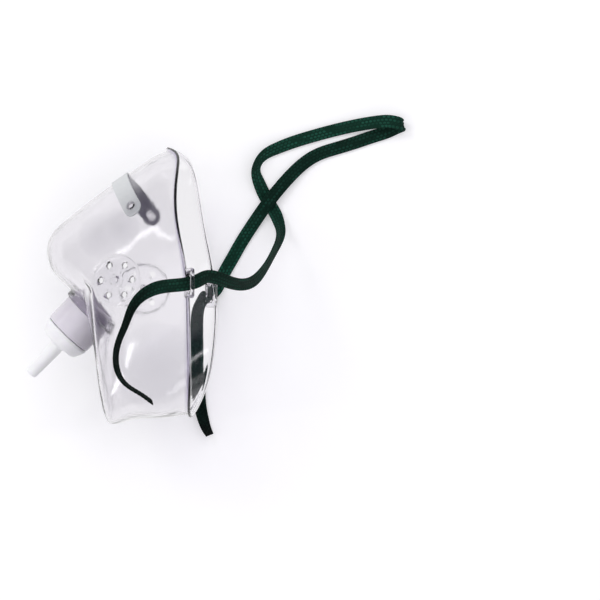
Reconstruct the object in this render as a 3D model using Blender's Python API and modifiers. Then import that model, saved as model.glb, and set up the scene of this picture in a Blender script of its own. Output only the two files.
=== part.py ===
"""Oxygen face mask lying on one cheek: a clear moulded shell with nose clip, push-fit connector and strap.

Lengths are in metres and written in millimetres times MM. The mask has a frame of its own: -X points forward,
away from the face, +Y up towards the bridge of the nose, and +Z out of the cheek that ends uppermost. A point
of the mask is written (forward, up, side). The mask is tilted in that frame and set down on the table, z = 0.
"""

import math
from collections import namedtuple

import bmesh
import bpy
import numpy as np
from mathutils import Matrix, Vector
from mathutils.bvhtree import BVHTree

MM = 0.001
OBJECT_NAME = "oxygen_face_mask"
CLEARANCE = 0.3 * MM

# Shell: one moulding in clear soft plastic
WALL = 1.2 * MM
FLANGE = 1.7 * MM
COLUMNS = 40
ROWS = 24

# The rim where the shell meets the face, down one side from the bridge of the nose to under the chin, as
# (forward, up, side). The tables are in units that make the rim as high as MASK_HEIGHT.
RIM = (
    (15.0, 59.0, 0.0),
    (9.3, 56.2, 11.5),
    (6.9, 50.0, 20.5),
    (6.2, 39.0, 30.5),
    (4.7, 25.5, 36.0),
    (1.6, 10.0, 37.4),
    (-0.3, -6.0, 36.2),
    (-0.2, -24.0, 32.2),
    (0.9, -39.0, 24.5),
    (3.2, -51.0, 12.5),
    (4.8, -56.6, 0.0),
)
MASK_HEIGHT = 115.6 * MM
UNIT = MASK_HEIGHT / (RIM[0][1] - RIM[-1][1])

# In front of the rim, each ring goes round the mask once. ridge and chin are (forward, up) on the middle
# plane, cheek is (forward, up, side), above and below say how square the ring is over and under the cheek,
# and bow bends its upper part back towards the face.
Ring = namedtuple("Ring", "ridge cheek chin above below bow")
RINGS = (
    Ring((21.5, 56.2), (8.5, 3.5, 36.6), (13.0, -57.9), 1.75, 2.3, 1.5),
    Ring((33.0, 48.5), (20.5, 2.0, 35.4), (22.5, -58.4), 1.5, 2.7, 1.0),
    Ring((46.0, 39.8), (33.0, 1.5, 33.4), (32.0, -59.3), 1.42, 2.8, 1.0),
    Ring((58.6, 30.2), (42.0, 0.0, 30.2), (39.8, -60.4), 1.5, 2.4, 1.0),
    Ring((67.4, 20.5), (45.6, -1.8, 24.5), (41.6, -48.5), 1.75, 1.85, 1.0),
    Ring((66.0, 7.6), (48.7, -4.2, 17.8), (44.0, -31.0), 2.0, 2.0, 1.0),
)

# Port: the neck that the connector pushes into, on an axis that points forward and down
PORT_CENTRE = (47.8, -9.8)
PORT_DROP = math.radians(46)
PORT_EDGE = 11.8 * MM
NECK_OUTER = 12.6 * MM
NECK_BORE = 10.4 * MM
NECK_OUT = 3.0 * MM
NECK_IN = 1.6 * MM

# Vent on each cheek: a raised disc with a ring of holes round a stud
VENT_PLACE = (31.0, 0.4)
VENT_RADIUS = 11.0 * MM
VENT_RAISE = 0.8 * MM
VENT_HOLES = 6
VENT_HOLE_RADIUS = 1.35 * MM
VENT_HOLE_CIRCLE = 7.3 * MM
VENT_STUD_RADIUS = 1.4 * MM
VENT_STUD_HEIGHT = 1.4 * MM
RAY_START = 8.0 * MM
CUT_REACH = 5.0 * MM

# Strap lugs: slotted tabs on the flange. The upper one leans away from the face and the lower one, which
# lies under the mask, is folded forward
LUG_UP = -1.5 * MM
LUG_LENGTH = 13.0 * MM
LUG_HEIGHT = 5.8 * MM
LUG_ROOT = 0.9 * MM
LUG_THICK = 1.5 * MM
LUG_CORNER = 1.4 * MM
NEAR_LEAN = math.radians(40)
FAR_LEAN = math.radians(-52)
SLOT_LENGTH = 8.8 * MM
SLOT_WIDTH = 3.0 * MM
SLOT_RISE = 2.7 * MM

# Nose clip: an aluminium strip bent over the ridge and held by two studs of the shell
CLIP_PLACE = (35.5, 47.0)
CLIP_LENGTH = 68.0 * MM
CLIP_WIDTH = 8.2 * MM
CLIP_THICK = 0.8 * MM
CLIP_HOLE_INSET = 5.0 * MM
CLIP_SLOT_LENGTH = 5.6 * MM
CLIP_DEPTH = 16.0 * MM
STUD_RADIUS = 1.2 * MM
STUD_HEAD_RADIUS = 2.1 * MM
STUD_HEAD_HEIGHT = 0.9 * MM

# Connector: a sleeve pushed into the neck, and a cap with a tapered nipple pushed into the sleeve
SLEEVE_RADIUS = 11.25 * MM
SLEEVE_FRONT = 15.8 * MM
SLEEVE_WALL = 1.7 * MM
SPIGOT_WALL = 1.6 * MM
SPIGOT_REACH = 2.5 * MM
BORE_STEP = 2.0 * MM
BORE_CONE = 1.2 * MM
CAP_RADIUS = 11.0 * MM
CAP_RIM = 1.3 * MM
CAP_FACE_RADIUS = 9.0 * MM
CAP_HEIGHT = 6.0 * MM
CAP_WALL = 1.3 * MM
PLUG_DEPTH = 4.2 * MM
NIPPLE_ROOT = 3.25 * MM
NIPPLE_TIP = 2.75 * MM
NIPPLE_LENGTH = 18.4 * MM
NIPPLE_BORE = 1.3 * MM
TURN_STEPS = 36

# Strap: one piece of flat elastic
STRAP_WIDTH = 6.0 * MM
STRAP_THICK = 1.0 * MM
STRAP_STEP = 3.2 * MM

# How the mask comes to rest on its cheek: nose end and front end dip
TILT_FORWARD = math.radians(8)
TILT_NOSE = math.radians(3)

# The strap's way on the table from the point under the rim's middle, in the tables' units. bank turns the
# band towards its edge, in degrees, and lift is the height of its lower edge over the table. It lies on the
# cheek along its near tail (x, y, bank), runs free round its loop (x, y, lift, bank) and ends under the mask.
NEAR_TAIL = (
    (-19.9, -50.9, 70),
    (-25.4, -46.9, 70),
    (-31.7, -42.5, 70),
    (-34.8, -37.0, 70),
    (-35.4, -30.5, 68),
    (-33.9, -23.8, 66),
    (-31.4, -17.8, 62),
    (-28.9, -11.3, 54),
    (-25.9, -6.6, 42),
    (-22.0, -3.4, 26),
    (-17.5, -1.4, 10),
)
LOOP = (
    (3.5, 3.4, 75.2, 14),
    (10.1, 2.3, 67.0, 24),
    (15.2, 0.6, 58.6, 36),
    (19.9, 0.3, 49.6, 46),
    (23.7, 1.8, 41.4, 57),
    (26.8, 4.9, 33.8, 66),
    (29.4, 8.9, 26.6, 72),
    (32.4, 14.8, 17.6, 72),
    (34.6, 20.2, 10.6, 64),
    (35.2, 24.3, 6.4, 50),
    (34.4, 28.4, 3.2, 32),
    (32.8, 32.5, 1.2, 14),
    (30.1, 37.0, 0.3, 3),
    (27.4, 42.0, 0.3, 6),
    (25.3, 46.9, 0.3, 26),
    (24.2, 51.3, 0.3, 46),
    (25.1, 54.9, 0.3, 52),
    (27.8, 58.4, 0.3, 42),
    (33.2, 61.4, 0.3, 26),
    (40.4, 64.2, 0.3, 18),
    (49.4, 67.0, 0.3, 16),
    (60.2, 69.9, 0.3, 16),
    (71.0, 72.2, 0.3, 24),
    (79.9, 73.3, 0.3, 44),
    (87.1, 73.5, 0.3, 68),
    (90.2, 71.4, 0.3, 90),
    (87.6, 69.4, 0.3, 112),
    (80.4, 67.5, 0.3, 138),
    (71.0, 64.7, 0.3, 158),
    (60.2, 61.6, 0.3, 168),
    (51.2, 58.4, 0.5, 174),
    (44.0, 53.4, 1.1, 178),
    (36.8, 46.0, 2.0, 180),
    (30.5, 38.3, 2.5, 180),
    (24.2, 29.4, 1.2, 180),
    (20.6, 24.0, 0.5, 180),
    (17.0, 18.2, 0.3, 180),
    (13.4, 11.8, 0.3, 180),
    (9.6, 4.9, 0.5, 180),
)
FAR_TAIL = (
    (0.2, -6.8, 1.3, 206),
    (-1.5, -10.6, 0.7, 200),
    (-2.2, -15.6, 0.4, 188),
    (-2.2, -24.6, 0.3, 180),
    (-2.0, -33.6, 0.3, 176),
    (-1.8, -40.8, 0.3, 174),
    (-1.4, -48.0, 0.3, 170),
    (-0.8, -54.3, 0.3, 162),
    (0.4, -59.7, 0.3, 150),
    (1.9, -64.2, 0.3, 136),
    (3.5, -67.3, 0.3, 124),
)
# How far the strap moves along, up and through each lug on either side of the middle of its slot
NEAR_PASS = (0.5 * MM, 0.0, 2.4 * MM)
FAR_PASS = (-1.0 * MM, -0.4 * MM, 1.8 * MM)


def mask_point(forward, up, side=0.0):
    """A point of the mask's own frame, from the tables' units."""
    return Vector((-forward, up, side)) * UNIT


def spline(values, at):
    """A natural cubic curve through values, spaced by their distances, read at shares of its length."""
    values = np.asarray(values, float)
    flat = values.reshape(len(values), -1)
    steps = np.linalg.norm(np.diff(flat, axis=0), axis=1)
    knots = np.concatenate([[0], np.cumsum(steps)])
    knots /= knots[-1]
    gaps = np.diff(knots)
    slopes = np.diff(flat, axis=0) / gaps[:, None]
    count = len(knots)
    system = np.eye(count)
    right = np.zeros_like(flat)
    for i in range(1, count - 1):
        system[i, i - 1 : i + 2] = gaps[i - 1], 2 * (gaps[i - 1] + gaps[i]), gaps[i]
        right[i] = 6 * (slopes[i] - slopes[i - 1])
    bends = np.linalg.solve(system, right)
    out = []
    for share in at:
        i = int(np.clip(np.searchsorted(knots, share) - 1, 0, count - 2))
        a = (knots[i + 1] - share) / gaps[i]
        b = 1 - a
        curve = ((a**3 - a) * bends[i] + (b**3 - b) * bends[i + 1]) * gaps[i] ** 2 / 6
        out.append(a * flat[i] + b * flat[i + 1] + curve)
    return np.array(out).reshape(len(out), *values.shape[1:])


def evenly(points, count):
    """The same line with count points, equally far apart along it."""
    points = np.asarray(points, float)
    along = np.concatenate([[0], np.cumsum(np.linalg.norm(np.diff(points, axis=0), axis=1))])
    at = np.linspace(0, along[-1], count)
    return np.stack([np.interp(at, along, points[:, k]) for k in range(points.shape[1])], axis=1)


def port_matrix():
    """The connector's axis: its z points out of the port, and its x towards the ridge."""
    out = Vector((-math.cos(PORT_DROP), -math.sin(PORT_DROP), 0))
    up = Vector((-math.sin(PORT_DROP), math.cos(PORT_DROP), 0))
    turn = Matrix((up, out.cross(up), out)).transposed()
    return Matrix.Translation(mask_point(*PORT_CENTRE)) @ turn.to_4x4()


def port_ring():
    """The last ring, the circle at which the shell meets the neck."""
    forward, up = PORT_CENTRE
    radius = PORT_EDGE / UNIT
    rise = (radius * math.sin(PORT_DROP), radius * math.cos(PORT_DROP))
    ridge = (forward + rise[0], up + rise[1])
    chin = (forward - rise[0], up - rise[1])
    return Ring(ridge, (forward, up, radius), chin, 2.0, 2.0, 1.0)


def half_ring(ring):
    """One side of a ring from the ridge to the chin, as (forward, up, side)."""
    side_forward, side_up, side = ring.cheek
    points = []
    for angle in np.linspace(0, math.pi, 181):
        over = angle <= math.pi / 2
        power = 2 / (ring.above if over else ring.below)
        end_forward, end_up = ring.ridge if over else ring.chin
        reach = abs(math.cos(angle)) ** power
        bow = ring.bow if over else 1.0
        points.append(
            (
                side_forward + (end_forward - side_forward) * reach**bow,
                side_up + (end_up - side_up) * reach,
                side * abs(math.sin(angle)) ** power,
            )
        )
    return evenly(points, COLUMNS // 2 + 1)


def half_rim():
    """One side of the rim, as a smooth line that crosses the middle plane squarely at both ends."""
    points = np.array(RIM)
    mirrored = points * (1, 1, -1)
    line = spline([*mirrored[3:0:-1], *points, *mirrored[-2:-5:-1]], np.linspace(0, 1, 600))
    line = line[line[:, 2] >= 0]
    line[[0, -1], 2] = 0
    return evenly(line, COLUMNS // 2 + 1)


def flange_edge(rim):
    """The flange's outer edge: the rim's half outline moved outwards in the plane that faces the wearer."""
    along = np.gradient(rim[:, 1:], axis=0)
    outward = np.stack([np.zeros(len(rim)), along[:, 1], -along[:, 0]], axis=1)
    outward /= np.linalg.norm(outward, axis=1)[:, None]
    outward[[0, -1]] = (0, 1, 0), (0, -1, 0)
    return rim + outward * FLANGE / UNIT


def sheet_points():
    """The shell's outer face as rows of points from the flange to the port, each going all the way round."""
    rings = np.array([half_rim(), *(half_ring(ring) for ring in (*RINGS, port_ring()))])
    halves = spline(rings, np.linspace(0, 1, ROWS))
    halves = np.concatenate([flange_edge(halves[0])[None], halves])
    rows = []
    for half in halves:
        other = half[-2:0:-1] * (1, 1, -1)
        rows.append([mask_point(*point) for point in (*half, *other)])
    return rows


def grid_mesh(name, rows, closed):
    """A mesh of four-sided faces over rows of points."""
    width = len(rows[0])
    faces = []
    for row in range(len(rows) - 1):
        for column in range(width if closed else width - 1):
            following = (column + 1) % width
            low, high = row * width, (row + 1) * width
            faces.append((low + column, high + column, high + following, low + following))
    mesh = bpy.data.meshes.new(name)
    mesh.from_pydata([point for row in rows for point in row], [], faces)
    return mesh


def add_object(name, mesh, collection, parent=None, place=None):
    """Links a mesh as an object of a collection, placed under its parent."""
    obj = bpy.data.objects.new(name, mesh)
    collection.objects.link(obj)
    obj.parent = parent
    if place is not None:
        obj.matrix_local = place
    return obj


def as_helper(obj):
    """Leaves an object out of the render and draws it as wires."""
    obj.hide_render = True
    obj.display_type = "WIRE"
    return obj


def thicken(obj, thickness, offset):
    """Gives an open surface its wall."""
    solid = obj.modifiers.new("wall", "SOLIDIFY")
    solid.thickness = thickness
    solid.offset = offset
    solid.use_even_offset = True


def combine(obj, other, operation):
    """Joins another object to this one or cuts it away."""
    step = obj.modifiers.new(other.name, "BOOLEAN")
    step.object = other
    step.operation = operation
    step.solver = "EXACT"


def rounded_outline(length, width, radius, steps=5):
    """A rectangle with round corners, centred on the origin; a radius of half its width makes round ends."""
    points = []
    for corner, (sx, sy) in enumerate(((1, 1), (-1, 1), (-1, -1), (1, -1))):
        for step in range(steps + 1):
            angle = math.pi / 2 * (corner + step / steps)
            x = sx * (length / 2 - radius) + radius * math.cos(angle)
            y = sy * (width / 2 - radius) + radius * math.sin(angle)
            if not points or math.dist(points[-1], (x, y)) > 1e-7:
                points.append((x, y))
    if math.dist(points[0], points[-1]) < 1e-7:
        points.pop()
    return points


def add_prism(bm, outline, low, high, place):
    """Adds an outline drawn from z = low to z = high of a place."""
    base = [bm.verts.new(place @ Vector((x, y, low))) for x, y in outline]
    lid = [bm.verts.new(place @ Vector((x, y, high))) for x, y in outline]
    bm.faces.new(base[::-1])
    bm.faces.new(lid)
    for i in range(len(outline)):
        following = (i + 1) % len(outline)
        bm.faces.new((base[i], base[following], lid[following], lid[i]))


def add_cylinder(bm, radius, low, high, place, steps=20):
    """Adds a round bar from z = low to z = high of a place."""
    middle = place @ Matrix.Translation((0, 0, (low + high) / 2))
    bmesh.ops.create_cone(
        bm, cap_ends=True, segments=steps, radius1=radius, radius2=radius, depth=high - low, matrix=middle
    )


def mesh_of(bm, name):
    """Ends a bmesh as a mesh whose faces point out."""
    bmesh.ops.recalc_face_normals(bm, faces=bm.faces)
    mesh = bpy.data.meshes.new(name)
    bm.to_mesh(mesh)
    bm.free()
    return mesh


def turned_mesh(name, profile):
    """A closed profile of (radius, z) that runs down its outer side and back up its inner side."""
    mesh = bpy.data.meshes.new(name)
    count = len(profile)
    edges = [(i, (i + 1) % count) for i in range(count)]
    mesh.from_pydata([(radius, 0, z) for radius, z in profile], edges, [])
    return mesh


def turn(obj):
    """Spins an object's profile once round its z axis."""
    screw = obj.modifiers.new("turned", "SCREW")
    screw.axis = "Z"
    screw.steps = screw.render_steps = TURN_STEPS
    screw.use_merge_vertices = True
    screw.merge_threshold = 0.00001
    screw.use_smooth_shade = True


def material(name, colour, roughness, metallic=0.0, alpha=1.0):
    """A plain material for one piece."""
    made = bpy.data.materials.new(name)
    made.use_nodes = True
    shader = made.node_tree.nodes["Principled BSDF"]
    shader.inputs["Base Color"].default_value = (*colour, 1)
    shader.inputs["Roughness"].default_value = roughness
    shader.inputs["Metallic"].default_value = metallic
    shader.inputs["Alpha"].default_value = alpha
    made.diffuse_color = (*colour, alpha)
    return made


def smooth(obj, degrees=35):
    """Shades an object round where its faces meet at less than an angle."""
    obj.data.shade_smooth()
    obj.data.set_sharp_from_angle(angle=math.radians(degrees))


def bvh_of(mesh):
    """The faces of a mesh, ready for rays."""
    return BVHTree.FromPolygons([v.co for v in mesh.vertices], [tuple(p.vertices) for p in mesh.polygons])


def hit(skin, start, direction):
    """Where a ray first meets the skin, and the normal of the face that it meets."""
    place, normal, _, _ = skin.ray_cast(start, direction)
    if place is None:
        raise ValueError(f"a ray from {tuple(start)} misses the shell")
    return place, normal


def looking(place, normal, across):
    """A frame at a place whose z is a normal and whose x lies nearest to a direction."""
    z = normal.normalized()
    x = (across - z * across.dot(z)).normalized()
    return Matrix.Translation(place) @ Matrix((x, z.cross(x), z)).transposed().to_4x4()


def vent_frame(skin, side):
    """The middle of a cheek's vent, with z pointing out of the cheek."""
    place, normal = hit(skin, mask_point(*VENT_PLACE), Vector((0, 0, side)))
    if normal.z * side < 0:
        normal = -normal
    return looking(place, normal, Vector((1, 0, 0)))


def add_vent_disc(bm, skin, frame):
    """Adds the vent's raised disc, which follows the cheek and sinks half a wall into it."""
    out = frame.to_3x3() @ Vector((0, 0, 1))
    turns = 32
    rows = []
    for share in (0.34, 0.68, 1.0):
        ring = []
        for step in range(turns):
            angle = math.tau * step / turns
            spot = Vector((math.cos(angle), math.sin(angle), 0)) * VENT_RADIUS * share
            ring.append(hit(skin, frame @ spot + out * RAY_START, -out)[0])
        rows.append(ring)
    middle = frame.translation
    for lift in (VENT_RAISE, -WALL / 2):
        rings = [[bm.verts.new(point + out * lift) for point in ring] for ring in rows]
        centre = bm.verts.new(middle + out * lift)
        for step in range(turns):
            following = (step + 1) % turns
            bm.faces.new((centre, rings[0][step], rings[0][following]))
            for inner, outer in zip(rings, rings[1:]):
                bm.faces.new((inner[step], outer[step], outer[following], inner[following]))
        if lift > 0:
            rim_above = rings[-1]
        else:
            rim_below = rings[-1]
    for step in range(turns):
        following = (step + 1) % turns
        bm.faces.new((rim_above[step], rim_above[following], rim_below[following], rim_below[step]))


def lug_frame(rim, side):
    """The root of a lug on the flange's edge: x along the lug, y up it and z through it."""
    half = rim[COLUMNS // 2 :: -1]
    heights = [point.y for point in half]
    place = Vector([float(np.interp(LUG_UP, heights, [point[axis] for point in half])) for axis in range(3)])
    place.z *= side
    place.x += WALL / 2
    lean = NEAR_LEAN if side > 0 else FAR_LEAN
    rise = Vector((math.sin(lean), 0, side * math.cos(lean)))
    along = Vector((0, side, 0))
    return Matrix.Translation(place) @ Matrix((along, rise, along.cross(rise))).transposed().to_4x4()


def add_lug(bm, frame):
    """Adds a lug's tab, rooted in the flange."""
    height = LUG_HEIGHT + LUG_ROOT
    outline = [
        (x, y + height / 2 - LUG_ROOT) for x, y in rounded_outline(LUG_LENGTH, height, LUG_CORNER)
    ]
    add_prism(bm, outline, -LUG_THICK / 2, LUG_THICK / 2, frame)


def add_slot(bm, frame):
    """Adds the cutter for a lug's slot."""
    outline = [(x, y + SLOT_RISE) for x, y in rounded_outline(SLOT_LENGTH, SLOT_WIDTH, SLOT_WIDTH / 2)]
    add_prism(bm, outline, -3 * LUG_THICK, 3 * LUG_THICK, frame)


def ridge_line_direction():
    """The way the ridge runs at the clip, from the bridge to the tip of the nose."""
    above, below = RINGS[0].ridge, RINGS[2].ridge
    return (mask_point(*below) - mask_point(*above)).normalized()


def clip_rows(skin):
    """Points of the shell under the nose clip, in rows across it, from one wing's end to the other's."""
    along = ridge_line_direction()
    side = Vector((0, 0, 1))
    out = side.cross(along)
    if out.y < 0:
        out = -out
    start = mask_point(*CLIP_PLACE) - out * CLIP_DEPTH
    lines = []
    for offset in np.linspace(-1, 1, 5):
        fan = []
        for angle in np.linspace(-1.9, 1.9, 115):
            ray = out * math.cos(angle) + side * math.sin(angle)
            fan.append(hit(skin, start + along * offset * CLIP_WIDTH / 2, ray)[0])
        middle = min(range(len(fan)), key=lambda i: abs(fan[i].z))
        run = np.concatenate([[0], np.cumsum([(b - a).length for a, b in zip(fan, fan[1:])])])
        lines.append((np.array(fan), run - run[middle]))
    rows = []
    half = CLIP_LENGTH / 2
    for share in np.sin(np.linspace(-math.pi / 2, math.pi / 2, 29)):
        at = share * half
        past = max(0.0, abs(at) - (half - CLIP_WIDTH / 2)) / (CLIP_WIDTH / 2)
        spread = max(0.12, math.sqrt(max(0.0, 1 - past * past)))
        across = [
            [float(np.interp(at, run, points[:, axis])) for axis in range(3)] for points, run in lines
        ]
        wanted = np.linspace(-spread, spread, 5)
        rows.append(
            [
                Vector([float(np.interp(w, np.linspace(-1, 1, 5), [p[k] for p in across])) for k in range(3)])
                for w in wanted
            ]
        )
    return rows


def clip_hole_frame(skin, rows, side):
    """The shell under one of the clip's holes, with z out of the shell and x along the wing."""
    middle = [row[2] for row in rows]
    run = np.concatenate([[0], np.cumsum([(b - a).length for a, b in zip(middle, middle[1:])])])
    at = run[-1] - CLIP_HOLE_INSET if side * middle[-1].z > 0 else CLIP_HOLE_INSET
    place = Vector([float(np.interp(at, run, [point[axis] for point in middle])) for axis in range(3)])
    near = int(np.clip(np.searchsorted(run, at), 1, len(middle) - 1))
    spot, normal, _, _ = skin.find_nearest(place)
    if normal.z * side < 0:
        normal = -normal
    return looking(spot, normal, middle[near] - middle[near - 1])


def make_shell(collection, helpers, parent, rows, skin, clip):
    """The clear moulding: face cone, flange, neck, vents, lugs and studs in one solid."""
    shell = add_object("mask_shell", grid_mesh("mask_shell", rows, closed=True), collection, parent)
    thicken(shell, WALL, -1)

    neck_profile = (
        (NECK_OUTER, NECK_OUT),
        (NECK_OUTER, -NECK_IN),
        (NECK_BORE, -NECK_IN),
        (NECK_BORE, NECK_OUT),
    )
    neck = add_object("neck", turned_mesh("neck", neck_profile), helpers, parent, port_matrix())
    turn(neck)

    added, studs, cut = bmesh.new(), bmesh.new(), bmesh.new()
    for side in (1, -1):
        vent = vent_frame(skin, side)
        add_vent_disc(added, skin, vent)
        add_cylinder(studs, VENT_STUD_RADIUS, 0, VENT_RAISE + VENT_STUD_HEIGHT, vent, 14)
        for hole in range(VENT_HOLES):
            angle = math.tau * hole / VENT_HOLES
            spot = Vector((math.cos(angle), math.sin(angle), 0)) * VENT_HOLE_CIRCLE
            add_cylinder(cut, VENT_HOLE_RADIUS, -CUT_REACH, CUT_REACH, vent @ Matrix.Translation(spot), 14)
        lug = lug_frame(rows[0], side)
        add_lug(added, lug)
        add_slot(cut, lug)
        peg = clip_hole_frame(skin, clip, side)
        neck_top = CLEARANCE + CLIP_THICK + CLEARANCE
        add_cylinder(added, STUD_RADIUS, -WALL / 2, neck_top + STUD_HEAD_HEIGHT / 2, peg, 16)
        add_cylinder(studs, STUD_HEAD_RADIUS, neck_top, neck_top + STUD_HEAD_HEIGHT, peg, 16)

    combine(shell, as_helper(neck), "UNION")
    for name, bm, operation in (
        ("pads_and_lugs", added, "UNION"),
        ("studs", studs, "UNION"),
        ("holes", cut, "DIFFERENCE"),
    ):
        combine(shell, as_helper(add_object(name, mesh_of(bm, name), helpers, parent)), operation)
    shell.data.materials.append(material("clear_pvc", (0.86, 0.85, 0.90), 0.12, alpha=0.45))
    smooth(shell)
    return shell


def make_clip(collection, helpers, parent, skin, rows):
    """The nose clip: the strip on the shell, with a round hole at one end and a slot at the other."""
    lifted = []
    for row in rows:
        line = []
        for point in row:
            spot, normal, _, _ = skin.find_nearest(point)
            line.append(point + normal * CLEARANCE)
        lifted.append(line)
    clip = add_object("nose_clip", grid_mesh("nose_clip", lifted, closed=False), collection, parent)
    first = clip.data.polygons[len(clip.data.polygons) // 2]
    _, normal, _, _ = skin.find_nearest(first.center)
    inside_out = first.normal.dot(normal) < 0
    thicken(clip, CLIP_THICK, -1 if inside_out else 1)
    holes = bmesh.new()
    round_hole = 2 * (STUD_RADIUS + CLEARANCE)
    for side, length in ((1, round_hole + CLEARANCE), (-1, CLIP_SLOT_LENGTH)):
        outline = rounded_outline(length, round_hole, round_hole / 2)
        add_prism(holes, outline, -CUT_REACH / 2, CUT_REACH / 2, clip_hole_frame(skin, rows, side))
    cutter = add_object("clip_holes", mesh_of(holes, "clip_holes"), helpers, parent)
    combine(clip, as_helper(cutter), "DIFFERENCE")
    clip.data.materials.append(material("aluminium", (0.78, 0.79, 0.80), 0.35, metallic=1.0))
    smooth(clip)
    return clip


def make_collar(collection, parent):
    """The sleeve, with the spigot that pushes into the shell's neck."""
    seat = NECK_OUT + CLEARANCE
    spigot = NECK_BORE - CLEARANCE
    bore = SLEEVE_RADIUS - SLEEVE_WALL
    profile = (
        (SLEEVE_RADIUS - 0.3 * MM, SLEEVE_FRONT),
        (SLEEVE_RADIUS, SLEEVE_FRONT - 0.4 * MM),
        (SLEEVE_RADIUS, seat),
        (spigot, seat),
        (spigot - 0.2 * MM, -SPIGOT_REACH),
        (spigot - SPIGOT_WALL, -SPIGOT_REACH),
        (spigot - SPIGOT_WALL, seat + BORE_STEP),
        (bore, seat + BORE_STEP + BORE_CONE),
        (bore, SLEEVE_FRONT),
    )
    mesh = turned_mesh("connector_collar", profile)
    collar = add_object("connector_collar", mesh, collection, parent, port_matrix())
    turn(collar)
    collar.data.materials.append(material("lilac_pvc", (0.72, 0.69, 0.78), 0.25, alpha=0.8))
    return collar


def make_nipple(collection, parent):
    """The white cap with its plug and tapered nipple, bored through."""
    base = SLEEVE_FRONT + CLEARANCE
    face = base + CAP_HEIGHT
    tip = face + NIPPLE_LENGTH
    plug = SLEEVE_RADIUS - SLEEVE_WALL - CLEARANCE
    profile = (
        (NIPPLE_TIP - 0.9 * MM, tip),
        (NIPPLE_TIP - 0.3 * MM, tip - 0.4 * MM),
        (NIPPLE_TIP, tip - 1.3 * MM),
        (NIPPLE_ROOT, face + 1.2 * MM),
        (NIPPLE_ROOT + 0.9 * MM, face),
        (CAP_FACE_RADIUS - 0.6 * MM, face),
        (CAP_FACE_RADIUS, face - 0.5 * MM),
        (CAP_RADIUS, base + CAP_RIM),
        (CAP_RADIUS, base),
        (plug, base),
        (plug - 0.1 * MM, base - PLUG_DEPTH),
        (plug - CAP_WALL, base - PLUG_DEPTH),
        (plug - CAP_WALL, base + CAP_RIM),
        (NIPPLE_ROOT, face - CAP_WALL),
        (NIPPLE_BORE, face - CAP_WALL + 1.0 * MM),
        (NIPPLE_BORE, tip),
    )
    mesh = turned_mesh("nipple_fitting", profile)
    fitting = add_object("nipple_fitting", mesh, collection, parent, port_matrix())
    turn(fitting)
    fitting.data.materials.append(material("milky_plastic", (0.90, 0.91, 0.91), 0.35))
    return fitting


def evaluated_mesh(obj):
    """An object's mesh in world space with its modifiers."""
    graph = bpy.context.evaluated_depsgraph_get()
    mesh = bpy.data.meshes.new_from_object(obj.evaluated_get(graph))
    mesh.transform(obj.evaluated_get(graph).matrix_world)
    return mesh


def lug_crossing(frame, lie, step, bank):
    """Three points of the strap through a lug's slot, on the table, the last of them a step on."""
    middle = Vector((0, SLOT_RISE, 0))
    return [(*(lie @ frame @ (middle + Vector(step) * share)), bank) for share in (-1, 0, 1)]


def cheek_height(skin, place, level, bank):
    """How high the strap's middle lies over a place when the band rests on the shell there."""
    reach, half = STRAP_WIDTH / 2, STRAP_THICK / 2
    needed = []
    for across in (-1, -0.5, 0, 0.5, 1):
        for face in (-1, 1):
            sideways = across * reach * math.cos(bank) - face * half * math.sin(bank)
            upwards = across * reach * math.sin(bank) + face * half * math.cos(bank)
            start = Vector((*place, 0)) + level * sideways + Vector((0, 0, 1))
            needed.append(hit(skin, start, Vector((0, 0, -1)))[0].z - upwards)
    return max(needed) + 2 * CLEARANCE


def table_height(lift, bank):
    """The height of the strap's middle when its lower edge is a lift over the table."""
    return lift + STRAP_WIDTH / 2 * abs(math.sin(bank)) + STRAP_THICK / 2 * abs(math.cos(bank))


def strap_route(shell_mesh, lie, near_lug, far_lug):
    """The strap's middle line as (x, y, z, bank) from its end on the cheek to its end under the mask."""
    skin = bvh_of(shell_mesh)
    places = [Vector((x, y)) * UNIT for x, y, _ in NEAR_TAIL]
    route = []
    for i, place in enumerate(places):
        ahead = (places[min(i + 1, len(places) - 1)] - places[max(i - 1, 0)]).normalized()
        bank = math.radians(NEAR_TAIL[i][2])
        level = Vector((-ahead.y, ahead.x, 0))
        route.append((*place, cheek_height(skin, place, level, bank), bank))
    route += lug_crossing(near_lug, lie, NEAR_PASS, 0)
    for x, y, lift, bank in LOOP:
        turned = math.radians(bank)
        route.append((x * UNIT, y * UNIT, table_height(lift * UNIT, turned), turned))
    route += lug_crossing(far_lug, lie, [-step for step in FAR_PASS], math.pi)
    for x, y, lift, bank in FAR_TAIL:
        turned = math.radians(bank)
        route.append((x * UNIT, y * UNIT, table_height(lift * UNIT, turned), turned))
    return route


def make_strap(collection, parent, route):
    """The elastic band: a strip swept along its middle line and turned by its bank."""
    length = sum(math.dist(a[:3], b[:3]) for a, b in zip(route, route[1:]))
    scaled = [(x, y, z, bank * 10 * MM) for x, y, z, bank in route]
    line = spline(scaled, np.linspace(0, 1, int(length / STRAP_STEP) + 1))
    rows = []
    for i, (x, y, z, bank) in enumerate(line):
        ahead = line[min(i + 1, len(line) - 1)][:3] - line[max(i - 1, 0)][:3]
        forward = Vector(ahead).normalized()
        level = Vector((-forward.y, forward.x, 0)).normalized()
        angle = bank / (10 * MM)
        width = level * math.cos(angle) + Vector((0, 0, 1)) * math.sin(angle)
        width = (width - forward * width.dot(forward)).normalized() * STRAP_WIDTH / 2
        middle = Vector((x, y, z))
        rows.append([middle - width, middle, middle + width])
    strap = add_object("head_strap", grid_mesh("head_strap", rows, closed=False), collection, parent)
    thicken(strap, STRAP_THICK, 0)
    strap.data.materials.append(material("green_elastic", (0.012, 0.045, 0.034), 0.8))
    smooth(strap)
    return strap


def lowest(mesh, turn_matrix):
    """The lowest height of a mesh after a turn."""
    return min((turn_matrix @ v.co).z for v in mesh.vertices)


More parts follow.
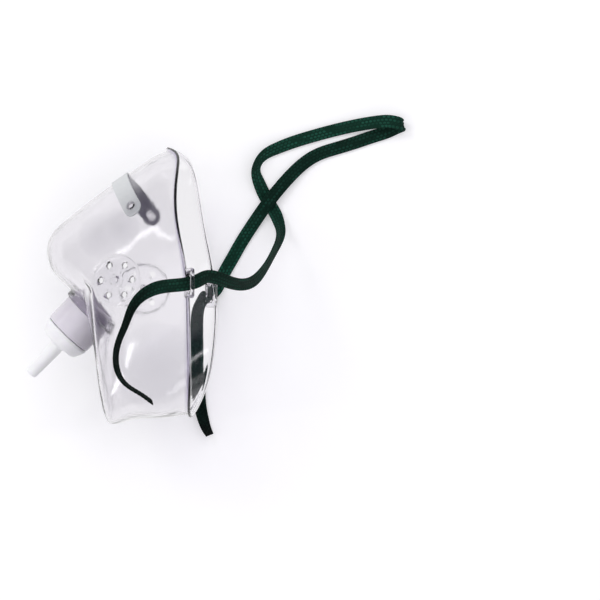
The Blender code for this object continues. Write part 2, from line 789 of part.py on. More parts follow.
def build():
    for obj in list(bpy.data.objects):
        bpy.data.objects.remove(obj, do_unlink=True)
    parts = bpy.data.collections.new(OBJECT_NAME)
    helpers = bpy.data.collections.new("cutters")
    bpy.context.scene.collection.children.link(parts)
    bpy.context.scene.collection.children.link(helpers)
    table = add_object("table_point", None, parts)
    mask = add_object("mask_frame", None, parts, table)

    rows = sheet_points()
    sheet = grid_mesh("outer_face", rows, closed=True)
    skin = bvh_of(sheet)
    clip = clip_rows(skin)
    shell = make_shell(parts, helpers, mask, rows, skin, clip)
    strip = make_clip(parts, helpers, mask, skin, clip)
    pieces = [shell, strip, make_collar(parts, mask), make_nipple(parts, mask)]

    shell_mesh = evaluated_mesh(shell)
    tilt = Matrix.Rotation(-TILT_NOSE, 4, "X") @ Matrix.Rotation(-TILT_FORWARD, 4, "Y")
    lie = Matrix.Translation((0, 0, -lowest(shell_mesh, tilt))) @ tilt
    mask.matrix_local = lie
    shell_mesh.transform(lie)
    lugs = [lug_frame(rows[0], side) for side in (1, -1)]
    pieces.append(make_strap(parts, table, strap_route(shell_mesh, lie, *lugs)))

    bpy.context.view_layer.update()
    corners = np.array([v.co for obj in pieces for v in evaluated_mesh(obj).vertices])
    low, high = corners.min(axis=0), corners.max(axis=0)
    table.location = (-(low[0] + high[0]) / 2, -(low[1] + high[1]) / 2, -low[2])
    bpy.context.view_layer.update()
    print("size in mm", np.round((high - low) / MM, 1))
    print("table point at mm", np.round(np.array(table.location) / MM, 2))


build()
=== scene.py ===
# %% [markdown]
# An oxygen face mask, in cells.
# The real thing is a soft clear cup that covers nose and mouth, with an aluminium strip to pinch over the
# nose, a sleeve and nipple for the oxygen tubing, and a green elastic band. It lies on one cheek here.
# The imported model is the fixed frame: it says where each piece is, so each one is made in place, in metres.
# %% Load the frame
import math
from collections import namedtuple

import bmesh
import bpy
import numpy as np
from mathutils import Matrix, Vector
from mathutils.bvhtree import BVHTree
from mathutils.kdtree import KDTree


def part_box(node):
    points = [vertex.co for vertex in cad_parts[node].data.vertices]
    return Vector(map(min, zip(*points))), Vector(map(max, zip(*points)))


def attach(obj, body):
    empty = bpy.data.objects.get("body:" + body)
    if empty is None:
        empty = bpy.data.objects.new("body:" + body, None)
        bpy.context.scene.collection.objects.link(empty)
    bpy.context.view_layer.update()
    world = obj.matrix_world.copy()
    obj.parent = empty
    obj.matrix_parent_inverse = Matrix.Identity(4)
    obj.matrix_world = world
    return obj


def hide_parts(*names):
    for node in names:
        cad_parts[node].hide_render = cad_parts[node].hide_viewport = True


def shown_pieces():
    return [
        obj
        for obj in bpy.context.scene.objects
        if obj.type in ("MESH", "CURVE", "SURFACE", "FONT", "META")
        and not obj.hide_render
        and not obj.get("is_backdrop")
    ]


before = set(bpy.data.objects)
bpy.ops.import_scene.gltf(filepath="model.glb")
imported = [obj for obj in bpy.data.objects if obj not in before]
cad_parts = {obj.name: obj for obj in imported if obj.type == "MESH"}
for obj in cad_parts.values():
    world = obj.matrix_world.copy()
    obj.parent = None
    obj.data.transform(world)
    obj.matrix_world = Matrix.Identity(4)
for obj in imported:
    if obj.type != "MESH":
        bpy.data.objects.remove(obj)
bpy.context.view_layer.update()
MM = 0.001
print("solids:", sorted(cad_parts))

# %% [markdown]
# Every finish is a node tree, so a few small helpers come first. One turns the sRGB hex colour that a
# painter would pick into the linear numbers that Blender works with. Another adds a node with its settings
# and inputs in one line, which keeps each tree readable from top to bottom. An input takes a value, a socket
# or a whole node, which then stands for its first output in use.
# %% Colours, nodes and objects
def linear(code):
    """The linear colour of an sRGB hex value."""
    parts = [int(code[i : i + 2], 16) / 255 for i in (1, 3, 5)]
    return (*[p / 12.92 if p <= 0.04045 else ((p + 0.055) / 1.055) ** 2.4 for p in parts], 1)


def add_node(tree, kind, inputs=None, **settings):
    """Adds a node, sets its settings, and gives each input a value or another node's output."""
    node = tree.nodes.new(kind)
    for name, value in settings.items():
        setattr(node, name, value)
    for name, value in (inputs or {}).items():
        if isinstance(value, bpy.types.Node):
            value = next(socket for socket in value.outputs if socket.enabled)
        if isinstance(value, bpy.types.NodeSocket):
            tree.links.new(value, node.inputs[name])
        else:
            node.inputs[name].default_value = value
    return node


def new_material(name):
    """An empty material and its node tree."""
    made = bpy.data.materials.new(name)
    made.use_nodes = True
    made.node_tree.nodes.clear()
    return made, made.node_tree


def new_object(name, data):
    """An object in the scene that holds a mesh, a lamp or a camera."""
    obj = bpy.data.objects.new(name, data)
    bpy.context.scene.collection.objects.link(obj)
    return obj


print("mid grey #808080 is", round(linear("#808080")[0], 3), "in linear light")

# %% [markdown]
# The photograph looks straight down on the table from far off. A long lens at 1.8 m gives that flat,
# catalogue-like view, and the framing comes from one number: the picture is 270 mm wide at the table.
# %% Camera
CAMERA_OVER = (36.93 * MM, -10.47 * MM)
CAMERA_HEIGHT = 1.8
PICTURE_WIDTH = 270 * MM
SENSOR_WIDTH = 36

camera = new_object("camera", bpy.data.cameras.new("camera"))
camera.location = (*CAMERA_OVER, CAMERA_HEIGHT)
camera.data.sensor_width = SENSOR_WIDTH
camera.data.lens = SENSOR_WIDTH * CAMERA_HEIGHT / PICTURE_WIDTH
camera.data.clip_start = 0.05
bpy.context.scene.camera = camera
bpy.context.scene.view_settings.view_transform = "Standard"
print("lens", round(camera.data.lens), "mm")

# %% [markdown]
# A clear object on white only shows by what it reflects and bends, so the stage matters as much as the
# plastic. The table is white to the eye and through the plastic but still takes a soft shadow. Reflections
# see it fade out, as a sheet of paper that ends in a dim studio does.
# %% The table
ROOM_DIM = 0.12
FADE = (160 * MM, 600 * MM)
TABLE_HALF = 4.0
TABLE_LEVEL = -0.05 * MM


def add_stage():
    """A wide white table top that keeps shadows and fades out in reflections."""
    made, tree = new_material("white_table")
    path = add_node(tree, "ShaderNodeLightPath")
    rays = {0: path.outputs["Is Camera Ray"], 1: path.outputs["Is Transmission Ray"]}
    seen = add_node(tree, "ShaderNodeMath", rays, operation="MAXIMUM")
    paint = add_node(tree, "ShaderNodeBsdfDiffuse", {"Color": linear("#E6E6E6")})
    glow = add_node(tree, "ShaderNodeEmission", {"Color": linear("#FFFFFF"), "Strength": 0.28})
    both = add_node(tree, "ShaderNodeAddShader", {0: paint, 1: glow})
    place = add_node(tree, "ShaderNodeTexCoord").outputs["Object"]
    far = add_node(tree, "ShaderNodeVectorMath", {0: place}, operation="LENGTH")
    ramp = {"Value": far, "From Min": FADE[0], "From Max": FADE[1], "To Min": 1.0, "To Max": ROOM_DIM}
    fade = add_node(tree, "ShaderNodeMapRange", ramp, interpolation_type="SMOOTHSTEP")
    mirrored = add_node(tree, "ShaderNodeEmission", {"Strength": fade})
    shown = add_node(tree, "ShaderNodeMixShader", {"Fac": seen, 1: paint, 2: both})
    choice = {"Fac": path.outputs["Is Glossy Ray"], 1: shown, 2: mirrored}
    mixed = add_node(tree, "ShaderNodeMixShader", choice)
    add_node(tree, "ShaderNodeOutputMaterial", {"Surface": mixed})
    mesh = bpy.data.meshes.new("table")
    signs = ((-1, -1), (1, -1), (1, 1), (-1, 1))
    mesh.from_pydata([(x * TABLE_HALF, y * TABLE_HALF, TABLE_LEVEL) for x, y in signs], [], [(0, 1, 2, 3)])
    mesh.materials.append(made)
    new_object("table", mesh)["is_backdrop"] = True


add_stage()
print("a white table, dim far off in reflections")

# %% [markdown]
# The room that the plastic mirrors is drawn by direction. A level of 0 is black and 1 is white. Each pane is
# a patch of sky between two values of x, y and z: a broad soft box over the upper left, and narrow strips
# that draw the thin bright lines on nose, cheek and chin. What isn't a pane is dim and a little violet, and
# that gives the shell its grey side. Diffuse surfaces only get a plain even light, and the camera sees white.
# %% The room
Pane = namedtuple("Pane", "x y z soft level")
PANES = (
    Pane((-0.95, 0.12), (-0.36, 0.46), (0.62, 2.0), 0.10, 0.7),
    Pane((-0.95, -0.40), (0.20, 0.72), (0.37, 0.43), 0.04, 5.0),
    Pane((-0.53, -0.46), (-0.90, -0.22), (0.30, 2.0), 0.03, 6.0),
    Pane((0.38, 0.41), (-2.0, -0.86), (-0.30, 0.20), 0.015, 3.0),
)
EVEN_LIGHT = 0.85


def between(tree, value, span, soft):
    """1 where a value lies inside a span, falling softly to 0 on both sides."""
    edges = []
    for end, start in zip(span, (0.0, 1.0)):
        ramp = {"Value": value, "From Min": end - soft, "From Max": end + soft}
        ramp.update({"To Min": start, "To Max": 1 - start})
        edges.append(add_node(tree, "ShaderNodeMapRange", ramp, interpolation_type="SMOOTHSTEP"))
    return add_node(tree, "ShaderNodeMath", {0: edges[0], 1: edges[1]}, operation="MULTIPLY")


def add_room():
    """The world: white for the camera, even for matt surfaces, and the panes for reflections."""
    world = bpy.data.worlds.new("room")
    bpy.context.scene.world = world
    world.use_nodes = True
    tree = world.node_tree
    tree.nodes.clear()
    way = add_node(tree, "ShaderNodeTexCoord").outputs["Generated"]
    axes = add_node(tree, "ShaderNodeSeparateXYZ", {0: way})
    total = add_node(tree, "ShaderNodeValue")
    total.outputs[0].default_value = ROOM_DIM
    for pane in PANES:
        share = between(tree, axes.outputs["X"], pane.x, pane.soft)
        for axis, span in (("Y", pane.y), ("Z", pane.z)):
            inside = between(tree, axes.outputs[axis], span, pane.soft)
            share = add_node(tree, "ShaderNodeMath", {0: share, 1: inside}, operation="MULTIPLY")
        lit = {0: share, 1: pane.level, 2: total}
        total = add_node(tree, "ShaderNodeMath", lit, operation="MULTIPLY_ADD")
    path = add_node(tree, "ShaderNodeLightPath")
    rays = {0: path.outputs["Is Glossy Ray"], 1: path.outputs["Is Transmission Ray"]}
    sharp = add_node(tree, "ShaderNodeMath", rays, operation="MAXIMUM")
    even = add_node(tree, "ShaderNodeMix", {"Factor": sharp, "A": EVEN_LIGHT, "B": total}, data_type="FLOAT")
    shown = {"Factor": path.outputs["Is Camera Ray"], "A": even, "B": 1.0}
    strength = add_node(tree, "ShaderNodeMix", shown, data_type="FLOAT")
    hues = {"Factor": strength, "A": linear("#AFA0D8"), "B": linear("#FFFFFF")}
    hue = add_node(tree, "ShaderNodeMix", hues, data_type="RGBA")
    glow = add_node(tree, "ShaderNodeBackground", {"Color": hue, "Strength": strength})
    add_node(tree, "ShaderNodeOutputWorld", {"Surface": glow})


add_room()
print("the room has", len(PANES), "bright panes")

# %% [markdown]
# Three soft lamps from the upper left model the strap and the cap. They are hidden from reflections and from
# what is seen through the plastic, because the panes already stand for everything bright there.
# %% Lamps
LAMPS_AIM = Vector((0, 0, 30 * MM))


def add_lamp(name, place, size, power):
    """A soft lamp that faces the object and isn't itself seen in or through the plastic."""
    light = bpy.data.lights.new(name, "AREA")
    light.shape = "RECTANGLE"
    light.size, light.size_y = size
    light.energy = power
    lamp = new_object(name, light)
    lamp.location = place
    lamp.rotation_mode = "QUATERNION"
    lamp.rotation_quaternion = (LAMPS_AIM - Vector(place)).to_track_quat("-Z", "Y")
    lamp.visible_glossy = False
    lamp.visible_transmission = False


add_lamp("soft_box", (-0.75, 0.70, 0.95), (0.45, 0.45), 4.0)
add_lamp("strip_left", (-0.95, -0.10, 0.85), (0.08, 0.60), 1.2)
add_lamp("strip_top", (0.10, 0.90, 1.10), (0.60, 0.10), 1.2)
print("three soft lamps")

# %% [markdown]
# Most pieces are made from lines of points, and numpy handles a whole line at once. These helpers measure a
# line, read it between its points, respace it, and round a corner with a short curve.
# %% Lines of points
def lengths_along(points):
    """How far along a line each of its points lies."""
    gaps = np.linalg.norm(np.diff(np.asarray(points, float), axis=0), axis=1)
    return np.concatenate([[0], np.cumsum(gaps)])


def read_at(at, knots, points):
    """The points of a line, read between its knots at one place or at many."""
    return np.stack([np.interp(at, knots, values) for values in np.asarray(points, float).T], axis=-1)


def evenly(points, count):
    """The same line with count points, equally far apart along it."""
    along = lengths_along(points)
    return read_at(np.linspace(0, along[-1], count), along, points)


def unit(vectors):
    """The vectors at length 1."""
    return vectors / np.linalg.norm(vectors, axis=-1, keepdims=True)


def square_to(vectors, axes):
    """The vectors turned square to their axes, at length 1."""
    return unit(vectors - axes * np.sum(vectors * axes, axis=-1, keepdims=True))


def eased(start, corner, end, count):
    """A short curve from start to end that bends towards a corner."""
    shares = [step / (count - 1) for step in range(count)]
    return [(1 - t) ** 2 * start + 2 * t * (1 - t) * corner + t * t * end for t in shares]


print("half way, a corner at 1 is eased to", eased(0, 1, 1, 3)[1])

# %% [markdown]
# The shell is a moulding whose outline is easiest to give as a stack of rings: each one goes once round the
# mask, from the ridge of the nose over the cheek to the chin. The first ring is the rim that meets the face
# and the last is the round port. Both sides are the same, so half of each ring is enough. All numbers are
# millimetres in the mask's own frame: forward from the face, up towards the bridge, out to the side.
# %% The shell's rings
COLUMNS = 176
ROWS = 84
RIM = (
    (15.0, 59.0, 0.0), (9.3, 56.2, 11.5), (6.9, 50.0, 20.5), (6.2, 39.0, 30.5), (4.7, 25.5, 36.0),
    (1.6, 10.0, 37.4), (-0.3, -6.0, 36.2), (-0.2, -24.0, 32.2), (0.9, -39.0, 24.5), (3.2, -51.0, 12.5),
    (4.8, -56.6, 0.0),
)
Ring = namedtuple("Ring", "ridge cheek chin above below bow")
RINGS = (
    Ring((21.5, 56.2), (8.5, 3.5, 36.6), (13.0, -57.9), 1.75, 2.3, 1.5),
    Ring((33.0, 48.5), (20.5, 2.0, 35.4), (22.5, -58.4), 1.5, 2.7, 1.0),
    Ring((46.0, 39.8), (33.0, 1.5, 33.4), (32.0, -59.3), 1.42, 2.8, 1.0),
    Ring((58.6, 30.2), (42.0, 0.0, 30.2), (39.8, -60.4), 1.5, 2.4, 1.0),
    Ring((67.4, 20.5), (45.6, -1.8, 24.5), (41.6, -48.5), 1.75, 1.85, 1.0),
    Ring((66.0, 7.6), (48.7, -4.2, 17.8), (44.0, -31.0), 2.0, 2.0, 1.0),
)
PORT_CENTRE = (47.8, -9.8)
PORT_DROP = math.radians(46)
PORT_EDGE = 11.8
print(len(RINGS) + 2, "rings from rim to port")

# %% [markdown]
# Rings become a surface by running a smooth curve through matching points of each. A natural cubic spline
# does that with a few lines of numpy, and gives more control than a loft tool. Each half ring is a
# superellipse: its power says how square the ring is, above and below the cheek.
# %% From rings to a surface
def spline(values, at):
    """A natural cubic curve through values, spaced by their distances, read at shares of its length."""
    values = np.asarray(values, float)
    flat = values.reshape(len(values), -1)
    knots = lengths_along(flat)
    knots /= knots[-1]
    gaps = np.diff(knots)
    slopes = np.diff(flat, axis=0) / gaps[:, None]
    system = np.eye(len(knots))
    right = np.zeros_like(flat)
    for i in range(1, len(knots) - 1):
        system[i, i - 1 : i + 2] = gaps[i - 1], 2 * (gaps[i - 1] + gaps[i]), gaps[i]
        right[i] = 6 * (slopes[i] - slopes[i - 1])
    bends = np.linalg.solve(system, right)
    out = []
    for share in at:
        i = int(np.clip(np.searchsorted(knots, share) - 1, 0, len(knots) - 2))
        a = (knots[i + 1] - share) / gaps[i]
        b = 1 - a
        curve = ((a**3 - a) * bends[i] + (b**3 - b) * bends[i + 1]) * gaps[i] ** 2 / 6
        out.append(a * flat[i] + b * flat[i + 1] + curve)
    return np.array(out).reshape(len(out), *values.shape[1:])


def half_ring(ring):
    """One side of a ring from the ridge to the chin, as (forward, up, side)."""
    side_forward, side_up, side = ring.cheek
    points = []
    for angle in np.linspace(0, math.pi, 721):
        over = angle <= math.pi / 2
        power = 2 / (ring.above if over else ring.below)
        end_forward, end_up = ring.ridge if over else ring.chin
        reach = abs(math.cos(angle)) ** power
        bow = ring.bow if over else 1.0
        forward = side_forward + (end_forward - side_forward) * reach**bow
        up = side_up + (end_up - side_up) * reach
        points.append((forward, up, side * abs(math.sin(angle)) ** power))
    return evenly(points, COLUMNS // 2 + 1)


def half_rim():
    """One side of the rim, as a smooth line that crosses the middle squarely at both ends."""
    points = np.array(RIM)
    mirrored = points * (1, 1, -1)
    line = spline([*mirrored[3:0:-1], *points, *mirrored[-2:-5:-1]], np.linspace(0, 1, 1200))
    line = line[line[:, 2] >= 0]
    line[[0, -1], 2] = 0
    return evenly(line, COLUMNS // 2 + 1)


def port_ring():
    """The circle at which the shell meets the neck of the port."""
    forward, up = PORT_CENTRE
    rise = (PORT_EDGE * math.sin(PORT_DROP), PORT_EDGE * math.cos(PORT_DROP))
    ridge = (forward + rise[0], up + rise[1])
    chin = (forward - rise[0], up - rise[1])
    return Ring(ridge, (forward, up, PORT_EDGE), chin, 2.0, 2.0, 1.0)


rings = [half_rim(), *[half_ring(ring) for ring in (*RINGS, port_ring())]]
halves = spline(rings, np.linspace(0, 1, ROWS))
print("half the surface has", halves.shape[0], "rows of", halves.shape[1], "points")

# %% [markdown]
# The rim ends in a narrow flange that turns outwards and lies on the skin. A moulding has no sharp bend
# there, so the corner is replaced by a short curve, which also gives the light an edge to catch.
# %% The flange
FLANGE = 1.7
WALL = 1.2


def with_flange(halves):
    """The surface with its flange in front of its first row, joined by a small round."""
    rim = halves[0]
    along = np.gradient(rim[:, 1:], axis=0)
    outward = unit(np.stack([np.zeros(len(rim)), along[:, 1], -along[:, 0]], axis=1))
    outward[[0, -1]] = (0, 1, 0), (0, -1, 0)
    edge = rim + outward * (FLANGE - WALL / 2)
    return np.concatenate([[edge], eased((edge + rim) / 2, rim, halves[1], 6), halves[2:]])


def whole(halves):
    """Both sides, in metres in the mask's frame: -X forward, +Y up, +Z out of the upper cheek."""
    both = np.concatenate([halves, halves[:, -2:0:-1] * (1, 1, -1)], axis=1)
    return both * (-MM, MM, MM)


sheet = whole(with_flange(halves))
print("the outer face is", np.ptp(sheet.reshape(-1, 3), axis=0).round(3), "m")

# %% [markdown]
# The wall is given its thickness by hand instead of with a Solidify modifier: the inner face is the outer one
# moved along its normals, and a half round joins the two at the flange's edge. The result is one closed
# skin whose faces all run smoothly, which matters because light is bent by both sides of the wall.
# %% The wall
def normals_of(sheet):
    """The outward normals of the surface at its points."""
    around = np.roll(sheet, -1, axis=1) - np.roll(sheet, 1, axis=1)
    normal = unit(np.cross(around, np.gradient(sheet, axis=0)))
    cheek = normal[len(sheet) // 2, COLUMNS // 4]
    return normal if cheek[2] > 0 else -normal


def closed_wall(sheet, wall):
    """Rows of points down the outer face, round the flange's edge and back up the inner face."""
    normal = normals_of(sheet)
    inner = sheet - normal * wall
    away = square_to(sheet[0] - sheet[1], normal[0])
    middle = (sheet[0] + inner[0]) / 2
    turns = np.linspace(0, math.pi, 7)[1:-1]
    round_edge = [middle + (normal[0] * math.cos(turn) + away * math.sin(turn)) * wall / 2 for turn in turns]
    return np.concatenate([sheet[::-1], round_edge, inner])


def bridge(bm, low, high):
    """Faces between two closed rings of vertices, one of which may be a single pole."""
    steps = max(len(low), len(high))
    for i in range(steps):
        k = (i + 1) % steps
        corners = (low[i % len(low)], low[k % len(low)], high[k % len(high)], high[i % len(high)])
        bm.faces.new(list(dict.fromkeys(corners)))


def mesh_of(bm, name, sharp=35):
    """Ends a bmesh as a smooth mesh whose faces point out, with sharp edges where it bends more."""
    bmesh.ops.recalc_face_normals(bm, faces=bm.faces)
    mesh = bpy.data.meshes.new(name)
    bm.to_mesh(mesh)
    bm.free()
    mesh.shade_smooth()
    mesh.set_sharp_from_angle(angle=math.radians(sharp))
    return mesh


cup = bmesh.new()
wall_rings = [[cup.verts.new(point) for point in row] for row in closed_wall(sheet, WALL * MM)]
for ring, following in zip(wall_rings, [*wall_rings[1:], wall_rings[0]]):
    bridge(cup, ring, following)
cup_mesh = mesh_of(cup, "cup")
print("the cup alone has", len(cup_mesh.polygons), "faces")

# %% [markdown]
# Round things are turned: neck, studs, holes, sleeve and nipple are all a profile spun about an axis. One
# function does it, with a pole where the profile touches the axis. A second one breaks the profile's
# corners, because no moulding tool leaves a perfectly sharp one. A third makes flat tabs with round edges.
# Each shape is made in a frame of its own, whose z points out of what it stands on.
# %% Turned and flat shapes
CORNER_STEPS = 6


def soften(profile, reach, closed=False):
    """A profile whose corners are replaced by short curves that start a reach before them."""
    points = [Vector(point) for point in profile]
    made = []
    for i, point in enumerate(points):
        if not closed and i in (0, len(points) - 1):
            made.append(point)
            continue
        sides = (points[i - 1] - point, points[(i + 1) % len(points)] - point)
        start, end = (point + side.normalized() * min(reach, 0.45 * side.length) for side in sides)
        made += eased(start, point, end, 5)
    return [tuple(point) for point in made]


def lathe(bm, profile, steps, place):
    """Spins a profile of (radius, z), in millimetres, round the z axis of a place; radius 0 is a pole."""
    rings = []
    for radius, height in profile:
        turns = [math.tau * i / steps for i in range(1 if radius == 0 else steps)]
        points = [Vector((radius * math.cos(turn), radius * math.sin(turn), height)) * MM for turn in turns]
        rings.append([bm.verts.new(place @ point) for point in points])
    for low, high in zip(rings, rings[1:]):
        bridge(bm, low, high)
    if profile[0][0] > 0:
        bridge(bm, rings[-1], rings[0])


def rounded_outline(length, width, radius):
    """A rectangle with round corners, centred on the origin; a radius of half its width makes round ends."""
    points = []
    for corner, (sx, sy) in enumerate(((1, 1), (-1, 1), (-1, -1), (1, -1))):
        for step in range(CORNER_STEPS + 1):
            angle = math.pi / 2 * (corner + step / CORNER_STEPS)
            x = sx * (length / 2 - radius) + radius * math.cos(angle)
            y = sy * (width / 2 - radius) + radius * math.sin(angle)
            if not points or math.dist(points[-1], (x, y)) > 1e-7:
                points.append((x, y))
    if math.dist(points[0], points[-1]) < 1e-7:
        points.pop()
    return points


def add_tab(bm, size, corner, thick, edge, place, shift=0.0):
    """A flat tab with round corners and rounded edges, moved along its y by a shift."""
    layers = []
    for angle in np.linspace(-math.pi / 2, math.pi / 2, 9):
        inset = edge * (1 - math.cos(angle))
        height = math.copysign(thick / 2 - edge, angle) + edge * math.sin(angle)
        if abs(angle) < 1e-9:
            height = 0.0
        outline = rounded_outline(size[0] - 2 * inset, size[1] - 2 * inset, corner - inset)
        layers.append([bm.verts.new(place @ Vector((x, y + shift, height))) for x, y in outline])
    bm.faces.new(layers[0][::-1])
    bm.faces.new(layers[-1])
    for low, high in zip(layers, layers[1:]):
        bridge(bm, low, high)


def looking(place, normal, across):
    """A frame at a place whose z is a normal and whose x lies nearest to a direction."""
    z = normal.normalized()
    x = (across - z * across.dot(z)).normalized()
    return Matrix.Translation(place) @ Matrix((x, z.cross(x), z)).transposed().to_4x4()


def facing(normal, way):
    """A normal, turned round if it points against a way."""
    return normal if normal.dot(way) > 0 else -normal


def in_middle(place):
    """A point of the mask's middle plane, from millimetres forward and up."""
    return Vector((-place[0] * MM, place[1] * MM, 0))


def port_matrix():
    """The connector's axis: its z points out of the port, and its x towards the ridge."""
    out = Vector((-math.cos(PORT_DROP), -math.sin(PORT_DROP), 0))
    return looking(in_middle(PORT_CENTRE), out, Vector((-math.sin(PORT_DROP), math.cos(PORT_DROP), 0)))


print("the port points", [round(c, 2) for c in port_matrix().col[2][:3]])

# %% [markdown]
# Each cheek carries a vent: a raised disc with six holes round a stud, through which breath escapes. The
# disc follows the cheek, so its points come from rays cast onto the cup. Its rim is rounded off. The profile
# gives each ring's share of the radius and its height over the cheek in millimetres.
# %% Vent discs
VENT_PLACE = (31.0, 0.4)
VENT_RADIUS = 11.0 * MM
VENT_PROFILE = (
    (0, 0.8), (0.3, 0.8), (0.6, 0.8), (0.85, 0.8), (0.93, 0.776), (0.965, 0.68), (0.99, 0.48), (1.0, 0.24),
    (1.0, -WALL / 2), (0, -WALL / 2),
)
VENT_STEPS = 72
RAY_START = 8 * MM

quads = []
for row in range(len(sheet) - 1):
    for column in range(COLUMNS):
        here, beside = row * COLUMNS + column, row * COLUMNS + (column + 1) % COLUMNS
        quads.append((here, here + COLUMNS, beside + COLUMNS, beside))
skin = BVHTree.FromPolygons([tuple(point) for point in sheet.reshape(-1, 3)], quads)


def vent_frame(side):
    """The middle of a cheek's vent, with z pointing out of the cheek."""
    out = Vector((0, 0, side))
    place, normal, _, _ = skin.ray_cast(in_middle(VENT_PLACE), out)
    return looking(place, facing(normal, out), Vector((1, 0, 0)))


def add_vent_disc(bm, place):
    """The raised disc, which follows the cheek and sinks half a wall into it."""
    out = place.to_3x3() @ Vector((0, 0, 1))
    rings = []
    for share, lift in VENT_PROFILE:
        ring = []
        for step in range(VENT_STEPS if share else 1):
            turn = math.tau * step / VENT_STEPS
            spot = Vector((math.cos(turn), math.sin(turn), 0)) * VENT_RADIUS * share
            found = skin.ray_cast(place @ spot + out * RAY_START, -out)[0]
            ring.append(bm.verts.new(found + out * lift * MM))
        rings.append(ring)
    for inner, outer in zip(rings, rings[1:]):
        bridge(bm, inner, outer)


print("vents at", [[round(c / MM, 1) for c in vent_frame(side).translation] for side in (1, -1)])

# %% [markdown]
# The nose clip sits on the ridge and is held by two small mushroom studs of the shell. Its path is found by
# fanning rays out of the mask onto the cup, in lines across the ridge, so strip and studs fit the cup.
# %% Where the nose clip goes
CLIP_PLACE = (35.5, 47.0)
CLIP_LENGTH = 68.0 * MM
CLIP_WIDTH = 8.2 * MM
CLIP_THICK = 0.8 * MM
CLIP_HOLE_INSET = 5.0 * MM
CLIP_SLOT_LENGTH = 5.6 * MM
STUD_HOLE_RADIUS = 1.5 * MM
CLEARANCE = 0.3 * MM
CLIP_DEPTH = 16 * MM
CLIP_LINES = np.linspace(-1, 1, 5)
CLIP_FAN = np.linspace(-1.9, 1.9, 231)
CLIP_END_SHARE = 0.12


def clip_rows(rows, columns):
    """Points of the cup under the clip, in rows across it, from one wing's end to the other's."""
    along = (in_middle(RINGS[2].ridge) - in_middle(RINGS[0].ridge)).normalized()
    side = Vector((0, 0, 1))
    out = facing(side.cross(along), Vector((0, 1, 0)))
    start = in_middle(CLIP_PLACE) - out * CLIP_DEPTH
    lines = []
    for offset in CLIP_LINES:
        rays = [out * math.cos(angle) + side * math.sin(angle) for angle in CLIP_FAN]
        fan = [skin.ray_cast(start + along * offset * CLIP_WIDTH / 2, ray)[0] for ray in rays]
        run = lengths_along(fan)
        middle = min(range(len(fan)), key=lambda i: abs(fan[i].z))
        lines.append((run - run[middle], fan))
    made = []
    half = CLIP_LENGTH / 2
    for share in np.sin(np.linspace(-math.pi / 2, math.pi / 2, rows)):
        at = share * half
        past = max(0.0, abs(at) - (half - CLIP_WIDTH / 2)) / (CLIP_WIDTH / 2)
        spread = max(CLIP_END_SHARE, math.sqrt(max(0.0, 1 - past * past)))
        across = [read_at(at, run, fan) for run, fan in lines]
        made.append([Vector(p) for p in read_at(np.linspace(-spread, spread, columns), CLIP_LINES, across)])
    return made


def clip_hole_frame(rows, side):
    """The cup under one of the clip's holes, with z out of the cup and x along the wing."""
    middle = [row[len(row) // 2] for row in rows]
    run = lengths_along(middle)
    at = run[-1] - CLIP_HOLE_INSET if side * middle[-1].z > 0 else CLIP_HOLE_INSET
    near = int(np.clip(np.searchsorted(run, at), 2, len(middle) - 2))
    spot, normal, _, _ = skin.find_nearest(Vector(read_at(at, run, middle)))
    return looking(spot, facing(normal, Vector((0, 0, side))), middle[near + 1] - middle[near - 2])


clip_path = clip_rows(61, 9)
print("the clip's wings end at", [[round(c / MM, 1) for c in clip_path[i][4]] for i in (0, -1)])

# %% [markdown]
# The lugs are slotted tabs on the flange, one on each side, that take the strap. In the photograph the upper
# one leans away from the face and the lower one is folded forward under the mask.
# With everything placed, the moulding is put together with Boolean modifiers: unions add neck, discs, lugs
# and studs, and one difference opens the holes and slots. The exact solver keeps it watertight.
# %% The lugs and the whole moulding
LUG_ROOT_PLACE = (0.512, -1.5, 38.391)
LUG_SIZE = (13.0 * MM, 6.7 * MM)
LUG_ROOT = 0.9 * MM
LUG_THICK = 1.5 * MM
LUG_CORNER = 1.4 * MM
LUG_LEANS = {1: math.radians(40), -1: math.radians(-52)}
SLOT_SIZE = (8.8 * MM, 3.0 * MM)
SLOT_RISE = 2.7 * MM
VENT_HOLES = 6
VENT_HOLE_CIRCLE = 7.3 * MM
VENT_HOLE_PROFILE = ((0, -5), (1.35, -5), (1.35, 5), (0, 5))
NECK_PROFILE = ((12.6, 3.0), (12.6, -1.6), (10.4, -1.6), (10.4, 3.0))
STUD_PROFILE = ((0, 0), (1.4, 0), (1.4, 2.2), (0, 2.2))
HEAD_PROFILE = ((0, 1.4), (2.1, 1.4), (2.1, 2.3), (0, 2.3))
PEG_PROFILE = ((0, -0.6), (1.2, -0.6), (1.2, 1.85), (0, 1.85))


def lug_frame(side):
    """The root of a lug on the flange's edge: x along the lug, y up it and z through it."""
    x, y, z = LUG_ROOT_PLACE
    lean = LUG_LEANS[side]
    rise = Vector((math.sin(lean), 0, side * math.cos(lean)))
    along = Vector((0, side, 0))
    return looking(Vector((x, y, z * side)) * MM, along.cross(rise), along)


def helper(name, bm):
    """A throwaway object for one step of the moulding."""
    return new_object(name, mesh_of(bm, name))


def settled(obj):
    """The plain mesh that an object has with its modifiers; the object itself is removed."""
    graph = bpy.context.evaluated_depsgraph_get()
    mesh = bpy.data.meshes.new_from_object(obj.evaluated_get(graph))
    bpy.data.objects.remove(obj)
    return mesh


def combine(obj, steps):
    """The mesh of an object after helpers are joined to it or cut away, in order; all are removed."""
    for other, operation in steps:
        step = obj.modifiers.new(other.name, "BOOLEAN")
        step.object, step.operation, step.solver = other, operation, "EXACT"
    mesh = settled(obj)
    for other, _ in steps:
        bpy.data.objects.remove(other)
    return mesh


